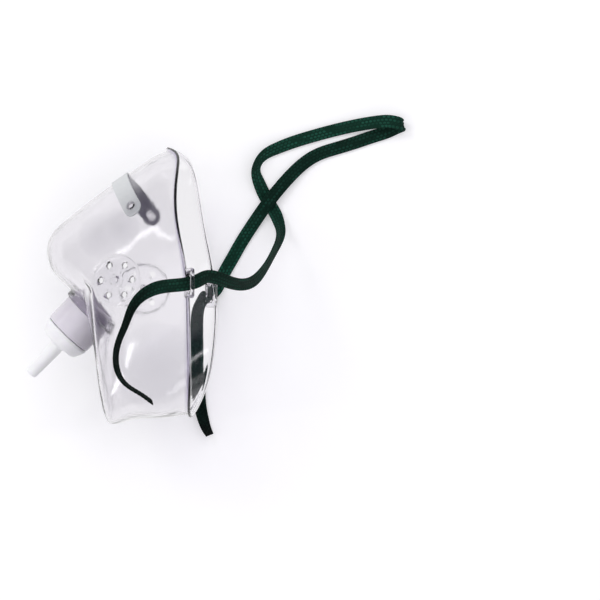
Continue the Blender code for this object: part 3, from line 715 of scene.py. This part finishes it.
neck, added, studs, cut = (bmesh.new() for _ in range(4))
lathe(neck, soften(NECK_PROFILE, 0.5, closed=True), 96, port_matrix())
for side in (1, -1):
    vent, lug, peg = vent_frame(side), lug_frame(side), clip_hole_frame(clip_path, side)
    add_vent_disc(added, vent)
    lathe(studs, soften(STUD_PROFILE, 0.5), 32, vent)
    for hole in range(VENT_HOLES):
        turn = math.tau * hole / VENT_HOLES
        spot = Vector((math.cos(turn), math.sin(turn), 0)) * VENT_HOLE_CIRCLE
        lathe(cut, VENT_HOLE_PROFILE, 32, vent @ Matrix.Translation(spot))
    add_tab(added, LUG_SIZE, LUG_CORNER, LUG_THICK, 0.45 * MM, lug, LUG_SIZE[1] / 2 - LUG_ROOT)
    add_tab(cut, SLOT_SIZE, SLOT_SIZE[1] / 2, 6 * LUG_THICK, 0.1 * MM, lug, SLOT_RISE)
    lathe(added, PEG_PROFILE, 32, peg)
    lathe(studs, soften(HEAD_PROFILE, 0.45), 32, peg)
steps = [
    (helper("neck", neck), "UNION"),
    (helper("pads_and_lugs", added), "UNION"),
    (helper("studs", studs), "UNION"),
    (helper("holes", cut), "DIFFERENCE"),
]
shell_mesh = combine(new_object("cup", cup_mesh), steps)
print("the shell has", len(shell_mesh.polygons), "faces")

# %% [markdown]
# Where the wall is seen edge on, at the rim, the plastic looks dark violet, and that darkness is painted
# into its colour as painted shade. So each vertex of the shell carries a number that says how near to the
# rim it is, for the material to read. The upper rim gets it in full. The lower one is seen through the
# shell, where it looks faint, so it gets little.
# %% Marking the rim for painted shade
RIM_EDGE = 1.6 * MM
RIM_FULL_HEIGHT = 15 * MM
RIM_LEAST = 0.15


def mark(mesh, name, values):
    """Gives each vertex of a mesh a number under a name."""
    mesh.attributes.new(name, "FLOAT", "POINT").data.foreach_set("value", values)


rim_points = KDTree(2 * COLUMNS)
for index, point in enumerate(sheet[:2].reshape(-1, 3)):
    rim_points.insert(point, index)
rim_points.balance()


def painted_rim_shade(place):
    """1 on the upper rim, less away from it and on the lower one."""
    near = max(0.0, 1 - rim_points.find(place)[2] / RIM_EDGE)
    return near * min(1.0, max(RIM_LEAST, place.z / RIM_FULL_HEIGHT))


# Painted shade: how strongly the dark violet of the edge-on rim is painted on at each vertex.
painted_rim_shades = [painted_rim_shade(vertex.co) for vertex in shell_mesh.vertices]
mark(shell_mesh, "rim", painted_rim_shades)
print(sum(tint > 0 for tint in painted_rim_shades), "vertices at the rim")

# %% [markdown]
# The mask is set down on its cheek: nose end and front end dip a little. The turn is known, and how far to
# move it is read from the frame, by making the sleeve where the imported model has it.
# %% The collar and the way the mask lies
SLEEVE_PROFILE = (
    (10.95, 15.8), (11.25, 15.4), (11.25, 3.3), (10.1, 3.3), (9.9, -2.5), (8.5, -2.5), (8.5, 5.3),
    (9.55, 6.5), (9.55, 15.8),
)
TILT_FORWARD = math.radians(8)
TILT_NOSE = math.radians(3)


def turned_piece(name, profile, reach):
    """A turned solid on the port's axis, in the mask's frame."""
    bm = bmesh.new()
    lathe(bm, soften(profile, reach, closed=True), 108, port_matrix())
    return mesh_of(bm, name)


def middle_of(mesh):
    """The middle of a mesh's box."""
    points = np.array([v.co for v in mesh.vertices])
    return Vector((points.min(axis=0) + points.max(axis=0)) / 2)


tilt = Matrix.Rotation(-TILT_NOSE, 4, "X") @ Matrix.Rotation(-TILT_FORWARD, 4, "Y")
collar_mesh = turned_piece("connector_collar", SLEEVE_PROFILE, 0.35)
collar_mesh.transform(tilt)
low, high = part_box("connector_collar")
lie = Matrix.Translation((low + high) / 2 - middle_of(collar_mesh)) @ tilt
collar_mesh.transform(lie @ tilt.inverted())
shell_mesh.transform(lie)
print("the mask moves by", [round(c / MM, 2) for c in lie.translation], "mm")

# %% [markdown]
# The cap closes the sleeve, and its tapered nipple takes the tubing. It is one moulding in a milky plastic,
# bored through, so it is one closed profile that runs out along the nipple and back inside.
# %% The fitting
FITTING_PROFILE = (
    (1.85, 40.5), (2.45, 40.1), (2.75, 39.2), (3.25, 23.3), (4.15, 22.1), (8.4, 22.1), (9.0, 21.6),
    (11.0, 17.4), (11.0, 16.1), (9.25, 16.1), (9.15, 11.9), (7.95, 11.9), (7.95, 17.4), (3.25, 20.8),
    (1.3, 21.8), (1.3, 40.5),
)
fitting_mesh = turned_piece("nipple_fitting", FITTING_PROFILE, 0.4)
fitting_mesh.transform(lie)
print("nipple tip to sleeve back", round(FITTING_PROFILE[0][1] - SLEEVE_PROFILE[4][1], 1), "mm")

# %% [markdown]
# The clip is rolled aluminium strip, about 0.8 mm thick, blanked with a round hole at one end and a slot at
# the other so that it can slide on its stud when it is pinched. Its path is lifted off the cup, given its
# thickness along the cup's normals, cut, and its edges are broken with a small bevel.
# %% The nose clip
CLIP_BEND = math.radians(50)


def lifted(bm, lift):
    """Vertices over the clip's path, moved out of the cup by a lift."""
    rows = []
    for row in clip_path:
        line = []
        for point in row:
            normal = facing(skin.find_nearest(point)[1], Vector((0, 20 * MM, point.z)))
            line.append(bm.verts.new(point + normal * lift))
        rows.append(line)
    return rows


def make_clip():
    """The strip over the ridge with its two openings, lying on the mask."""
    bm = bmesh.new()
    low, high = (lifted(bm, lift) for lift in (CLEARANCE, CLEARANCE + CLIP_THICK))
    count, width = len(low), len(low[0])
    for i in range(count - 1):
        for j in range(width - 1):
            bm.faces.new((low[i][j], low[i + 1][j], low[i + 1][j + 1], low[i][j + 1]))
            bm.faces.new((high[i][j], high[i][j + 1], high[i + 1][j + 1], high[i + 1][j]))
        for j in (0, width - 1):
            bm.faces.new((low[i][j], high[i][j], high[i + 1][j], low[i + 1][j]))
    for i in (0, count - 1):
        for j in range(width - 1):
            bm.faces.new((low[i][j], low[i][j + 1], high[i][j + 1], high[i][j]))
    holes = bmesh.new()
    round_hole = 2 * STUD_HOLE_RADIUS
    for side, length in ((1, round_hole + CLEARANCE), (-1, CLIP_SLOT_LENGTH)):
        place = clip_hole_frame(clip_path, side)
        add_tab(holes, (length, round_hole), round_hole / 2, 6 * MM, 0.1 * MM, place)
    pierced = combine(helper("strip", bm), [(helper("clip_holes", holes), "DIFFERENCE")])
    strip = new_object("strip", pierced)
    bevel = strip.modifiers.new("broken_edges", "BEVEL")
    bevel.width, bevel.segments, bevel.angle_limit = 0.14 * MM, 2, CLIP_BEND
    mesh = settled(strip)
    mesh.shade_smooth()
    mesh.set_sharp_from_angle(angle=CLIP_BEND)
    mesh.transform(lie)
    return mesh


clip_mesh = make_clip()
print("the clip has", len(clip_mesh.polygons), "faces")

# %% [markdown]
# The strap is one length of flat woven elastic. It starts on the upper cheek, goes through the upper lug,
# makes a long loop on the table, passes under the mask and comes up through the lower lug. The route follows
# the solid's, as points in millimetres with the turn of the band about its own line in degrees. Where the
# band folds over on itself its turn is left open, and the width direction is carried on between the rows
# before and after. A short table gives, for some rows, how much of its green the band keeps there; the rest
# is painted shade: it is painted nearly black towards its cut ends, and left greenest on the loop.
# %% The strap's route
FOLD = None
ROUTE = (
    (-27.0, -54.8, 68.8, 79), (-32.5, -50.8, 71.0, 79), (-38.8, -46.4, 72.5, 76), (-41.9, -40.9, 73.4, 70),
    (-42.5, -34.4, 74.7, 68), (-41.0, -27.7, 76.0, 66), (-38.5, -21.7, 77.2, 62), (-36.0, -15.2, 78.0, 54),
    (-33.0, -10.5, 78.5, 42), (-29.1, -7.3, 78.7, 26), (-24.6, -5.3, 78.9, 10), (-12.5, -3.7, 84.5, 0),
    (-10.5, -3.3, 83.2, 0), (-8.4, -2.8, 81.9, 0), (-3.6, -0.5, 76.4, 14), (3.0, -1.6, 68.7, 24),
    (8.1, -3.3, 60.8, 36), (12.8, -3.6, 52.1, 46), (16.6, -2.1, 44.2, 57), (19.7, 1.0, 36.7, 66),
    (22.3, 5.0, 29.6, 72), (25.3, 10.9, 20.6, 72), (27.5, 16.3, 13.5, 64), (28.1, 20.4, 9.0, 50),
    (27.3, 24.5, 5.2, 32), (25.7, 28.6, 2.4, 14), (23.0, 33.1, 1.0, 3), (20.3, 38.1, 1.1, 6),
    (18.2, 43.0, 2.1, 26), (17.1, 47.4, 2.8, 46), (18.0, 51.0, 3.0, 52), (20.7, 54.5, 2.7, 42),
    (26.1, 57.5, 2.1, 26), (33.3, 60.3, 1.7, 18), (42.3, 63.1, 1.6, 16), (53.1, 66.0, 1.6, 16),
    (63.9, 68.3, 2.9, 12), (71.5, 69.4, 4.9, 4), (77.5, 69.6, 6.1, FOLD), (82.2, 68.6, 5.2, FOLD),
    (83.3, 68.2, 3.4, FOLD), (82.0, 67.7, 1.7, FOLD), (76.5, 65.3, 0.8, FOLD), (70.5, 63.3, 0.8, 180),
    (62.5, 60.6, 0.9, 176), (53.1, 57.7, 1.2, 172), (44.1, 54.5, 1.3, 174), (36.9, 49.5, 1.7, 178),
    (29.7, 42.1, 2.5, 180), (23.4, 34.4, 3.0, 180), (17.1, 25.5, 1.7, 180), (13.5, 20.1, 1.0, 180),
    (9.9, 14.3, 0.8, 180), (6.3, 7.9, 0.8, 180), (2.5, 1.0, 1.0, 180), (-1.5, -6.5, 2.0, 180),
    (-3.1, -7.5, 3.0, 180), (-4.7, -8.4, 4.0, 180), (-6.9, -10.7, 3.1, 206), (-8.6, -14.5, 2.2, 200),
    (-9.3, -19.5, 1.3, 188), (-9.3, -28.5, 0.8, 180), (-9.1, -37.5, 1.0, 176), (-8.9, -44.7, 1.1, 174),
    (-8.5, -51.9, 1.3, 170), (-7.9, -58.2, 1.7, 162), (-6.7, -63.6, 2.2, 150), (-5.2, -68.1, 2.7, 136),
    (-3.6, -71.2, 3.1, 124),
)
# Painted shade: for some rows, how much of the band's green is kept; lower numbers paint it darker, down to
# nearly black at the cut ends.
PAINTED_LIGHT = (
    (0, 0.12), (7, 0.25), (10, 0.50), (15, 0.55), (20, 0.60), (25, 0.70), (29, 0.85), (33, 1.0),
    (39, 0.80), (43, 0.55), (49, 0.50), (52, 1.0), (56, 0.90), (59, 0.60), (62, 0.55), (65, 0.20), (68, 0.05),
)
STRAP_WIDTH = 6.0 * MM
STRAP_THICK = 1.0 * MM
STITCH_PITCH = 1.8 * MM
COLUMNS_OF_STITCHES = 4
LINE_STEP = 0.4 * MM
WIDTH_SCALE = 5 * MM
PAINTED_LIGHT_SCALE = 1 * MM


def widths_of(route):
    """The band's width direction at each point of its route, carried on through a fold."""
    ahead = np.gradient(np.array([row[:3] for row in route], float), axis=0)
    level = unit(np.stack([-ahead[:, 1], ahead[:, 0], np.zeros(len(ahead))], axis=1))
    known = [i for i, row in enumerate(route) if row[3] is not FOLD]
    angles = np.radians([route[i][3] for i in known])[:, None]
    width = level[known] * np.cos(angles) + np.array((0, 0, 1)) * np.sin(angles)
    return read_at(range(len(route)), known, width)


def strap_line(step):
    """Middle, forward direction, width direction, face direction and painted light at even steps along the
    band.
    """
    places = np.array([row[:3] for row in ROUTE], float) * MM
    painted_light = np.interp(range(len(ROUTE)), *zip(*PAINTED_LIGHT))
    all_in_one = np.concatenate([places, widths_of(ROUTE) * WIDTH_SCALE, painted_light[:, None] * PAINTED_LIGHT_SCALE], axis=1)
    line = spline(all_in_one, np.linspace(0, 1, int(lengths_along(places)[-1] / LINE_STEP)))
    along = lengths_along(line[:, :3])
    line = read_at(np.linspace(0, along[-1], int(along[-1] / step) + 1), along, line)
    middle = line[:, :3]
    ahead = unit(np.gradient(middle, axis=0))
    width = square_to(line[:, 3:6], ahead)
    return middle, ahead, width, np.cross(ahead, width), np.clip(line[:, 6] / PAINTED_LIGHT_SCALE, 0, 1)


middle, ahead, width, face, painted_light = strap_line(STITCH_PITCH)
print("the strap is", round(len(middle) * STITCH_PITCH / MM), "mm long")

# %% [markdown]
# The band's core is a thin flat ribbon with round edges. A flat oval is swept along the route, turned with
# the band at every step, and each ring of it carries the painted shade of its place.
# %% The strap's core
CORE_STEP = 0.9 * MM
CORE_SHARE = (0.97, 0.62)
CORE_SQUARENESS = (0.35, 0.7)


def make_core():
    """The ribbon under the stitches: a flat oval section swept along the route."""
    middle, _, width, face, painted_light = strap_line(CORE_STEP)
    section = []
    for angle in np.linspace(0, math.tau, 20, endpoint=False):
        across, through = (
            math.copysign(abs(turn) ** power, turn)
            for turn, power in zip((math.cos(angle), math.sin(angle)), CORE_SQUARENESS)
        )
        section.append((across * STRAP_WIDTH / 2 * CORE_SHARE[0], through * STRAP_THICK / 2 * CORE_SHARE[1]))
    bm = bmesh.new()
    # Painted shade: each ring keeps how much of the band's green is left at its place.
    depth = bm.verts.layers.float.new("painted_light")
    rings = [[bm.verts.new(m + w * a + f * t) for a, t in section] for m, w, f in zip(middle, width, face)]
    for ring, value in zip(rings, painted_light):
        for vert in ring:
            vert[depth] = value
    for ring, following in zip(rings, rings[1:]):
        bridge(bm, ring, following)
    bm.faces.new(rings[0][::-1])
    bm.faces.new(rings[-1])
    return mesh_of(bm, "head_strap", 60)


core_mesh = make_core()
print("the core has", len(core_mesh.polygons), "faces")

# %% [markdown]
# What the eye takes for elastic is its rows of short bulging stitches. Each is a tiny pillow, and there are
# about a thousand, so Geometry Nodes place them: one point per stitch carries the band's directions, a yarn
# tone and the painted shade of its place as attributes, and the tree turns one pillow to match at each point.
# About three stitches in a row share a tone, as runs of one yarn do. Real yarns are finer; they are drawn as
# coarse as the photograph shows them.
# %% Stitches by Geometry Nodes
STITCHED_SHARE = 0.92
STITCH_OVERLAP = (1.08, 1.06)


def stitch_tree():
    """Instances one pillow on every point, turned along the band, with sizes as named inputs."""
    tree = bpy.data.node_groups.new("elastic_stitches", "GeometryNodeTree")
    new_socket = tree.interface.new_socket
    new_socket("Geometry", in_out="INPUT", socket_type="NodeSocketGeometry")
    sizes = {"Stitch Length": 1.9 * MM, "Stitch Width": 1.5 * MM, "Stitch Height": 1.0 * MM}
    for name, value in sizes.items():
        new_socket(name, in_out="INPUT", socket_type="NodeSocketFloat").default_value = value
    new_socket("Yarn", in_out="INPUT", socket_type="NodeSocketMaterial")
    new_socket("Geometry", in_out="OUTPUT", socket_type="NodeSocketGeometry")
    given = add_node(tree, "NodeGroupInput")
    pillow = add_node(tree, "GeometryNodeMeshUVSphere", {"Segments": 8, "Rings": 5, "Radius": 0.5})
    axes = {axis: given.outputs[name] for axis, name in zip("XYZ", sizes)}
    size = add_node(tree, "ShaderNodeCombineXYZ", axes)
    shaped = add_node(tree, "GeometryNodeTransform", {"Geometry": pillow, "Scale": size})
    smooth = add_node(tree, "GeometryNodeSetShadeSmooth", {"Geometry": shaped})
    ahead = add_node(tree, "GeometryNodeInputNamedAttribute", {"Name": "ahead"}, data_type="FLOAT_VECTOR")
    face = add_node(tree, "GeometryNodeInputNamedAttribute", {"Name": "face"}, data_type="FLOAT_VECTOR")
    stand = add_node(tree, "FunctionNodeAlignRotationToVector", {"Vector": face}, axis="Z")
    turn = {"Rotation": stand, "Vector": ahead}
    along = add_node(tree, "FunctionNodeAlignRotationToVector", turn, axis="X", pivot_axis="Z")
    points = add_node(tree, "GeometryNodeMeshToPoints", {"Mesh": given.outputs["Geometry"]})
    spots = {"Points": points, "Instance": smooth, "Rotation": along}
    placed = add_node(tree, "GeometryNodeInstanceOnPoints", spots)
    real = add_node(tree, "GeometryNodeRealizeInstances", {"Geometry": placed})
    dyed = add_node(tree, "GeometryNodeSetMaterial", {"Geometry": real, "Material": given.outputs["Yarn"]})
    add_node(tree, "NodeGroupOutput", {"Geometry": dyed})
    return tree


def make_stitches(yarn):
    """The stitches as a plain mesh."""
    mesh = bpy.data.meshes.new("stitch_points")
    spacing = STRAP_WIDTH * STITCHED_SHARE / COLUMNS_OF_STITCHES
    places, aheads, faces, shades, painted_lights = [], [], [], [], []
    drawn = np.random.default_rng(7).random((len(middle), COLUMNS_OF_STITCHES))
    for i in range(1, len(middle) - 1):
        for column in range(COLUMNS_OF_STITCHES):
            across = (column - (COLUMNS_OF_STITCHES - 1) / 2) * spacing
            shift = (0.25 if column % 2 else -0.25) * STITCH_PITCH
            places.append(middle[i] + width[i] * across + ahead[i] * shift)
            aheads.append(ahead[i])
            faces.append(face[i])
            shades.append(drawn[(i + column) // 3, column])
            # Painted shade: each stitch takes the painted light of its place too.
            painted_lights.append(painted_light[i])
    mesh.from_pydata(places, [], [])
    mark(mesh, "yarn_shade", shades)
    mark(mesh, "painted_light", painted_lights)
    for name, values in (("ahead", aheads), ("face", faces)):
        mesh.attributes.new(name, "FLOAT_VECTOR", "POINT").data.foreach_set("vector", np.ravel(values))
    obj = new_object("stitches", mesh)
    modifier = obj.modifiers.new("stitches", "NODES")
    modifier.node_group = stitch_tree()
    inputs = {
        "Stitch Length": STITCH_OVERLAP[0] * STITCH_PITCH,
        "Stitch Width": STITCH_OVERLAP[1] * spacing,
        "Stitch Height": STRAP_THICK,
        "Yarn": yarn,
    }
    for socket in modifier.node_group.interface.items_tree:
        if socket.name in inputs:
            modifier[socket.identifier] = inputs[socket.name]
    return settled(obj)


print("one pillow for each of", (len(middle) - 2) * COLUMNS_OF_STITCHES, "stitches")

# %% [markdown]
# A few places of the upper cheek get painted shade: their tone is made a touch darker, standing in for shade
# that the lighting doesn't give there. Round patches, each with its place, radius and depth, say where.
# They are given on the table's axes in millimetres, so they are marked once the mask lies as it should.
# %% Painted shade on the upper cheek
Patch = namedtuple("Patch", "x y radius depth")
# Painted shade: each patch darkens the wall's tone most at its middle.
PAINTED_SHADE_PATCHES = (
    Patch(-41.0, 20.7, 9.0, 0.9),
    Patch(-50.0, 17.5, 10.0, 0.7),
    Patch(-24.5, -39.5, 20.0, 1.0),
    Patch(-45.0, -2.0, 9.0, 0.5),
)
UPPER_CHEEK = 30 * MM


def painted_wall_shade(place):
    """How deep the painted shade of the wall is at a place: 0 away from the patches and on the lower cheek.
    """
    if place.z <= UPPER_CHEEK:
        return 0.0
    nearness = [1 - math.dist(place[:2], (p.x * MM, p.y * MM)) / (p.radius * MM) for p in PAINTED_SHADE_PATCHES]
    return max(patch.depth * max(0.0, near) ** 0.5 for patch, near in zip(PAINTED_SHADE_PATCHES, nearness))


# Painted shade: how much darker each vertex's tone is painted.
painted_wall_shades = [painted_wall_shade(vertex.co) for vertex in shell_mesh.vertices]
mark(shell_mesh, "wall", painted_wall_shades)
print(sum(tint > 0 for tint in painted_wall_shades), "vertices in thicker places")

# %% [markdown]
# The shell is soft PVC, injection moulded and glossy. It bends light with an index of about 1.5 and has a
# faint violet tint that shows where there is much of it to look through. Most of that is volume absorption,
# which follows the thickness by itself. The marks made above add painted shade: a dark violet painted on at
# the rim, and a darker tone painted on the patches of the upper cheek.
# A slow bump makes its reflections wobble as thin soft walls do. Shadow rays pass through, because a path
# tracer would otherwise give a clear cup the shadow of a solid one.
# %% Clear PVC
def clear_pvc():
    """Clear soft PVC, moulded: wet-looking gloss, wobbly reflections, painted shade at the rim and on the
    cheek.
    """
    made, tree = new_material("clear_soft_pvc")
    place = add_node(tree, "ShaderNodeTexCoord").outputs["Object"]
    slow_size = {"Vector": place, "Scale": 1 / (16 * MM), "Detail": 1.0, "Roughness": 0.4}
    slow = add_node(tree, "ShaderNodeTexNoise", slow_size)
    drawn = add_node(tree, "ShaderNodeMapping", {"Vector": place, "Scale": (1.0, 0.22, 1.0)})
    streaks = add_node(tree, "ShaderNodeTexNoise", {"Vector": drawn, "Scale": 1 / (4 * MM), "Detail": 1.0})
    swell = add_node(tree, "ShaderNodeBump", {"Height": slow, "Strength": 0.5, "Distance": 0.5 * MM})
    ripple = {"Height": streaks, "Strength": 0.5, "Distance": 0.12 * MM, "Normal": swell}
    wobble = add_node(tree, "ShaderNodeBump", ripple)
    film = add_node(tree, "ShaderNodeTexNoise", {"Vector": place, "Scale": 1 / (6 * MM), "Detail": 3.0})
    blur = {"Value": film, "From Min": 0.35, "From Max": 0.7, "To Min": 0.05, "To Max": 0.13}
    haze = add_node(tree, "ShaderNodeMapRange", blur)
    # Painted shade: the rim mark says where the dark violet of the edge-on wall is painted on.
    rim = add_node(tree, "ShaderNodeAttribute", attribute_name="rim").outputs["Fac"]
    # Painted shade: the patches paint the wall's colour darker.
    wall = add_node(tree, "ShaderNodeAttribute", attribute_name="wall").outputs["Fac"]
    cheek = {"Factor": wall, "A": linear("#FCFBFD"), "B": linear("#E9E8EC")}
    painted_shade_tone = add_node(tree, "ShaderNodeMix", cheek, data_type="RGBA")
    # Painted shade: the rim's colour is painted dark violet.
    edges = {"Factor": rim, "A": painted_shade_tone, "B": linear("#705C98")}
    tone = add_node(tree, "ShaderNodeMix", edges, data_type="RGBA")
    gloss = {"Base Color": tone, "Roughness": haze, "Normal": wobble, "IOR": 1.5, "Transmission Weight": 1.0}
    plastic = add_node(tree, "ShaderNodeBsdfPrincipled", gloss)
    clear = add_node(tree, "ShaderNodeBsdfTransparent", {"Color": linear("#F4F2F7")})
    path = add_node(tree, "ShaderNodeLightPath")
    choice = {"Fac": path.outputs["Is Shadow Ray"], 1: plastic, 2: clear}
    mixed = add_node(tree, "ShaderNodeMixShader", choice)
    tint = add_node(tree, "ShaderNodeVolumeAbsorption", {"Color": (0.70, 0.68, 0.735, 1), "Density": 115.0})
    add_node(tree, "ShaderNodeOutputMaterial", {"Surface": mixed, "Volume": tint})
    return made


pvc = clear_pvc()
print(pvc.name, "has", len(pvc.node_tree.nodes), "nodes")

# %% [markdown]
# Aluminium strip is rolled, which leaves very fine lines along it. They are drawn coarser here, about 1 mm
# apart and 4 mm long, so that they still show, and they stretch the highlight across the strip.
# %% Rolled aluminium
def rolled_aluminium():
    """Rolled aluminium strip: satin, cool grey, with faint lines along it."""
    made, tree = new_material("rolled_aluminium")
    place = add_node(tree, "ShaderNodeTexCoord").outputs["Object"]
    drawn = {"Vector": place, "Scale": (260, 900, 260), "Rotation": (0, 0, 0.7)}
    stretched = add_node(tree, "ShaderNodeMapping", drawn)
    lines = add_node(tree, "ShaderNodeTexNoise", {"Vector": stretched, "Scale": 1.0, "Detail": 3.0})
    dull = add_node(tree, "ShaderNodeMapRange", {"Value": lines, "To Min": 0.36, "To Max": 0.50})
    relief = add_node(tree, "ShaderNodeBump", {"Height": lines, "Strength": 0.15, "Distance": 0.05 * MM})
    greys = {"Factor": lines, "A": linear("#D6D9DB"), "B": linear("#E6E8E8")}
    tone = add_node(tree, "ShaderNodeMix", greys, data_type="RGBA")
    satin = {"Base Color": tone, "Metallic": 0.6, "Roughness": dull, "Normal": relief}
    metal = add_node(tree, "ShaderNodeBsdfPrincipled", satin)
    add_node(tree, "ShaderNodeOutputMaterial", {"Surface": metal})
    return made


aluminium = rolled_aluminium()
print(aluminium.name, "has", len(aluminium.node_tree.nodes), "nodes")

# %% [markdown]
# The sleeve is the same family of plastic as the shell but thicker and cloudier, with a lilac cast. The cap
# is milky. Cloudy plastic scatters light inside, which a little subsurface scattering gives for much less
# than a volume.
# %% Lilac and milky plastics
def cloudy_plastic(name, deep, pale, roughness, cloud):
    """A moulded plastic with a cloudy colour, a fine moulded texture and a soft glow inside."""
    made, tree = new_material(name)
    place = add_node(tree, "ShaderNodeTexCoord").outputs["Object"]
    clouds = add_node(tree, "ShaderNodeTexNoise", {"Vector": place, "Scale": 1 / cloud, "Detail": 2.0})
    tones = {"Factor": clouds, "A": linear(deep), "B": linear(pale)}
    tone = add_node(tree, "ShaderNodeMix", tones, data_type="RGBA")
    grain = add_node(tree, "ShaderNodeTexNoise", {"Vector": place, "Scale": 1 / (0.7 * MM), "Detail": 2.0})
    relief = add_node(tree, "ShaderNodeBump", {"Height": grain, "Strength": 0.10, "Distance": 0.05 * MM})
    look = {
        "Base Color": tone,
        "Roughness": roughness,
        "Normal": relief,
        "IOR": 1.5,
        "Transmission Weight": 0.1,
        "Subsurface Weight": 0.3,
        "Subsurface Radius": (1.0, 0.9, 1.1),
        "Subsurface Scale": 1.5 * MM,
    }
    plastic = add_node(tree, "ShaderNodeBsdfPrincipled", look)
    add_node(tree, "ShaderNodeOutputMaterial", {"Surface": plastic})
    return made


lilac = cloudy_plastic("lilac_pvc", "#DAD5DC", "#ECE9EF", 0.22, 9 * MM)
milky = cloudy_plastic("milky_polypropylene", "#FBFCFC", "#FEFEFE", 0.32, 14 * MM)
print("cloudy plastics:", lilac.name, milky.name)

# %% [markdown]
# Elastic is rubber cores wrapped in dyed polyester yarn: matt, with a slight sheen at grazing angles where
# loose fibres stand up. The stitches differ in shade, and fine lines along them stand for single threads.
# Painted shade then takes the whole band down towards black where its painted light mark is low.
# %% Woven elastic
# The colour that painted shade takes the band towards.
PAINTED_SHADE_BLACK = "#020605"


def woven_elastic(name, dark, light):
    """Dark green polyester over rubber: matt yarn, uneven dye, painted shade, a little sheen."""
    made, tree = new_material(name)
    place = add_node(tree, "ShaderNodeTexCoord").outputs["Object"]
    shade = add_node(tree, "ShaderNodeAttribute", attribute_name="yarn_shade").outputs["Fac"]
    fibre = add_node(tree, "ShaderNodeTexNoise", {"Vector": place, "Scale": 1 / (0.35 * MM), "Detail": 2.0})
    thread = add_node(tree, "ShaderNodeMapRange", {"Value": fibre, "To Min": -0.3, "To Max": 0.3})
    both = add_node(tree, "ShaderNodeMath", {0: shade, 1: thread}, operation="ADD")
    greens = {"Factor": both, "A": linear(dark), "B": linear(light)}
    dyed = add_node(tree, "ShaderNodeMix", greens, data_type="RGBA")
    # Painted shade: where the band's mark is low, its tone is painted down towards black.
    depth = add_node(tree, "ShaderNodeAttribute", attribute_name="painted_light").outputs["Fac"]
    depths = {"Factor": depth, "A": linear(PAINTED_SHADE_BLACK), "B": dyed}
    tone = add_node(tree, "ShaderNodeMix", depths, data_type="RGBA")
    relief = add_node(tree, "ShaderNodeBump", {"Height": fibre, "Strength": 0.4, "Distance": 0.1 * MM})
    look = {
        "Base Color": tone,
        "Roughness": 0.75,
        "Normal": relief,
        "Specular IOR Level": 0.12,
        "Sheen Weight": 0.04,
        "Sheen Roughness": 0.4,
    }
    cloth = add_node(tree, "ShaderNodeBsdfPrincipled", look)
    add_node(tree, "ShaderNodeOutputMaterial", {"Surface": cloth})
    return made


yarn = woven_elastic("green_yarn", "#0E3024", "#44917A")
rubber = woven_elastic("green_core", "#0E3326", "#1F5443")
print("strap finishes:", yarn.name, rubber.name)

# %% [markdown]
# Last, each piece takes its finish, rides with the mask and stands in for its solid. The strap's core and
# stitches are joined into one piece, because they are one length of elastic.
# %% Dress and hand over
def add_piece(name, mesh, finish, node):
    """Links a finished mesh as the piece that stands for a solid."""
    mesh.materials.clear()
    mesh.materials.append(finish)
    obj = new_object(name, mesh)
    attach(obj, "root")
    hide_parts(node)
    return obj


def joined(first, second):
    """Two meshes as one; the second one's faces take the second material."""
    bm = bmesh.new()
    bm.from_mesh(first)
    count = len(bm.faces)
    bm.from_mesh(second)
    bm.faces.ensure_lookup_table()
    for face in bm.faces[count:]:
        face.material_index = 1
    mesh = bpy.data.meshes.new("head_strap")
    bm.to_mesh(mesh)
    bm.free()
    return mesh


add_piece("clear_shell", shell_mesh, pvc, "mask_shell")
add_piece("pinch_clip", clip_mesh, aluminium, "nose_clip")
add_piece("sleeve", collar_mesh, lilac, "connector_collar")
add_piece("cap_and_nipple", fitting_mesh, milky, "nipple_fitting")
strap = add_piece("elastic_strap", joined(core_mesh, make_stitches(yarn)), rubber, "head_strap")
strap.data.materials.append(yarn)
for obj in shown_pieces():
    obj.data.calc_loop_triangles()
    print(obj.name, len(obj.data.loop_triangles), "triangles")
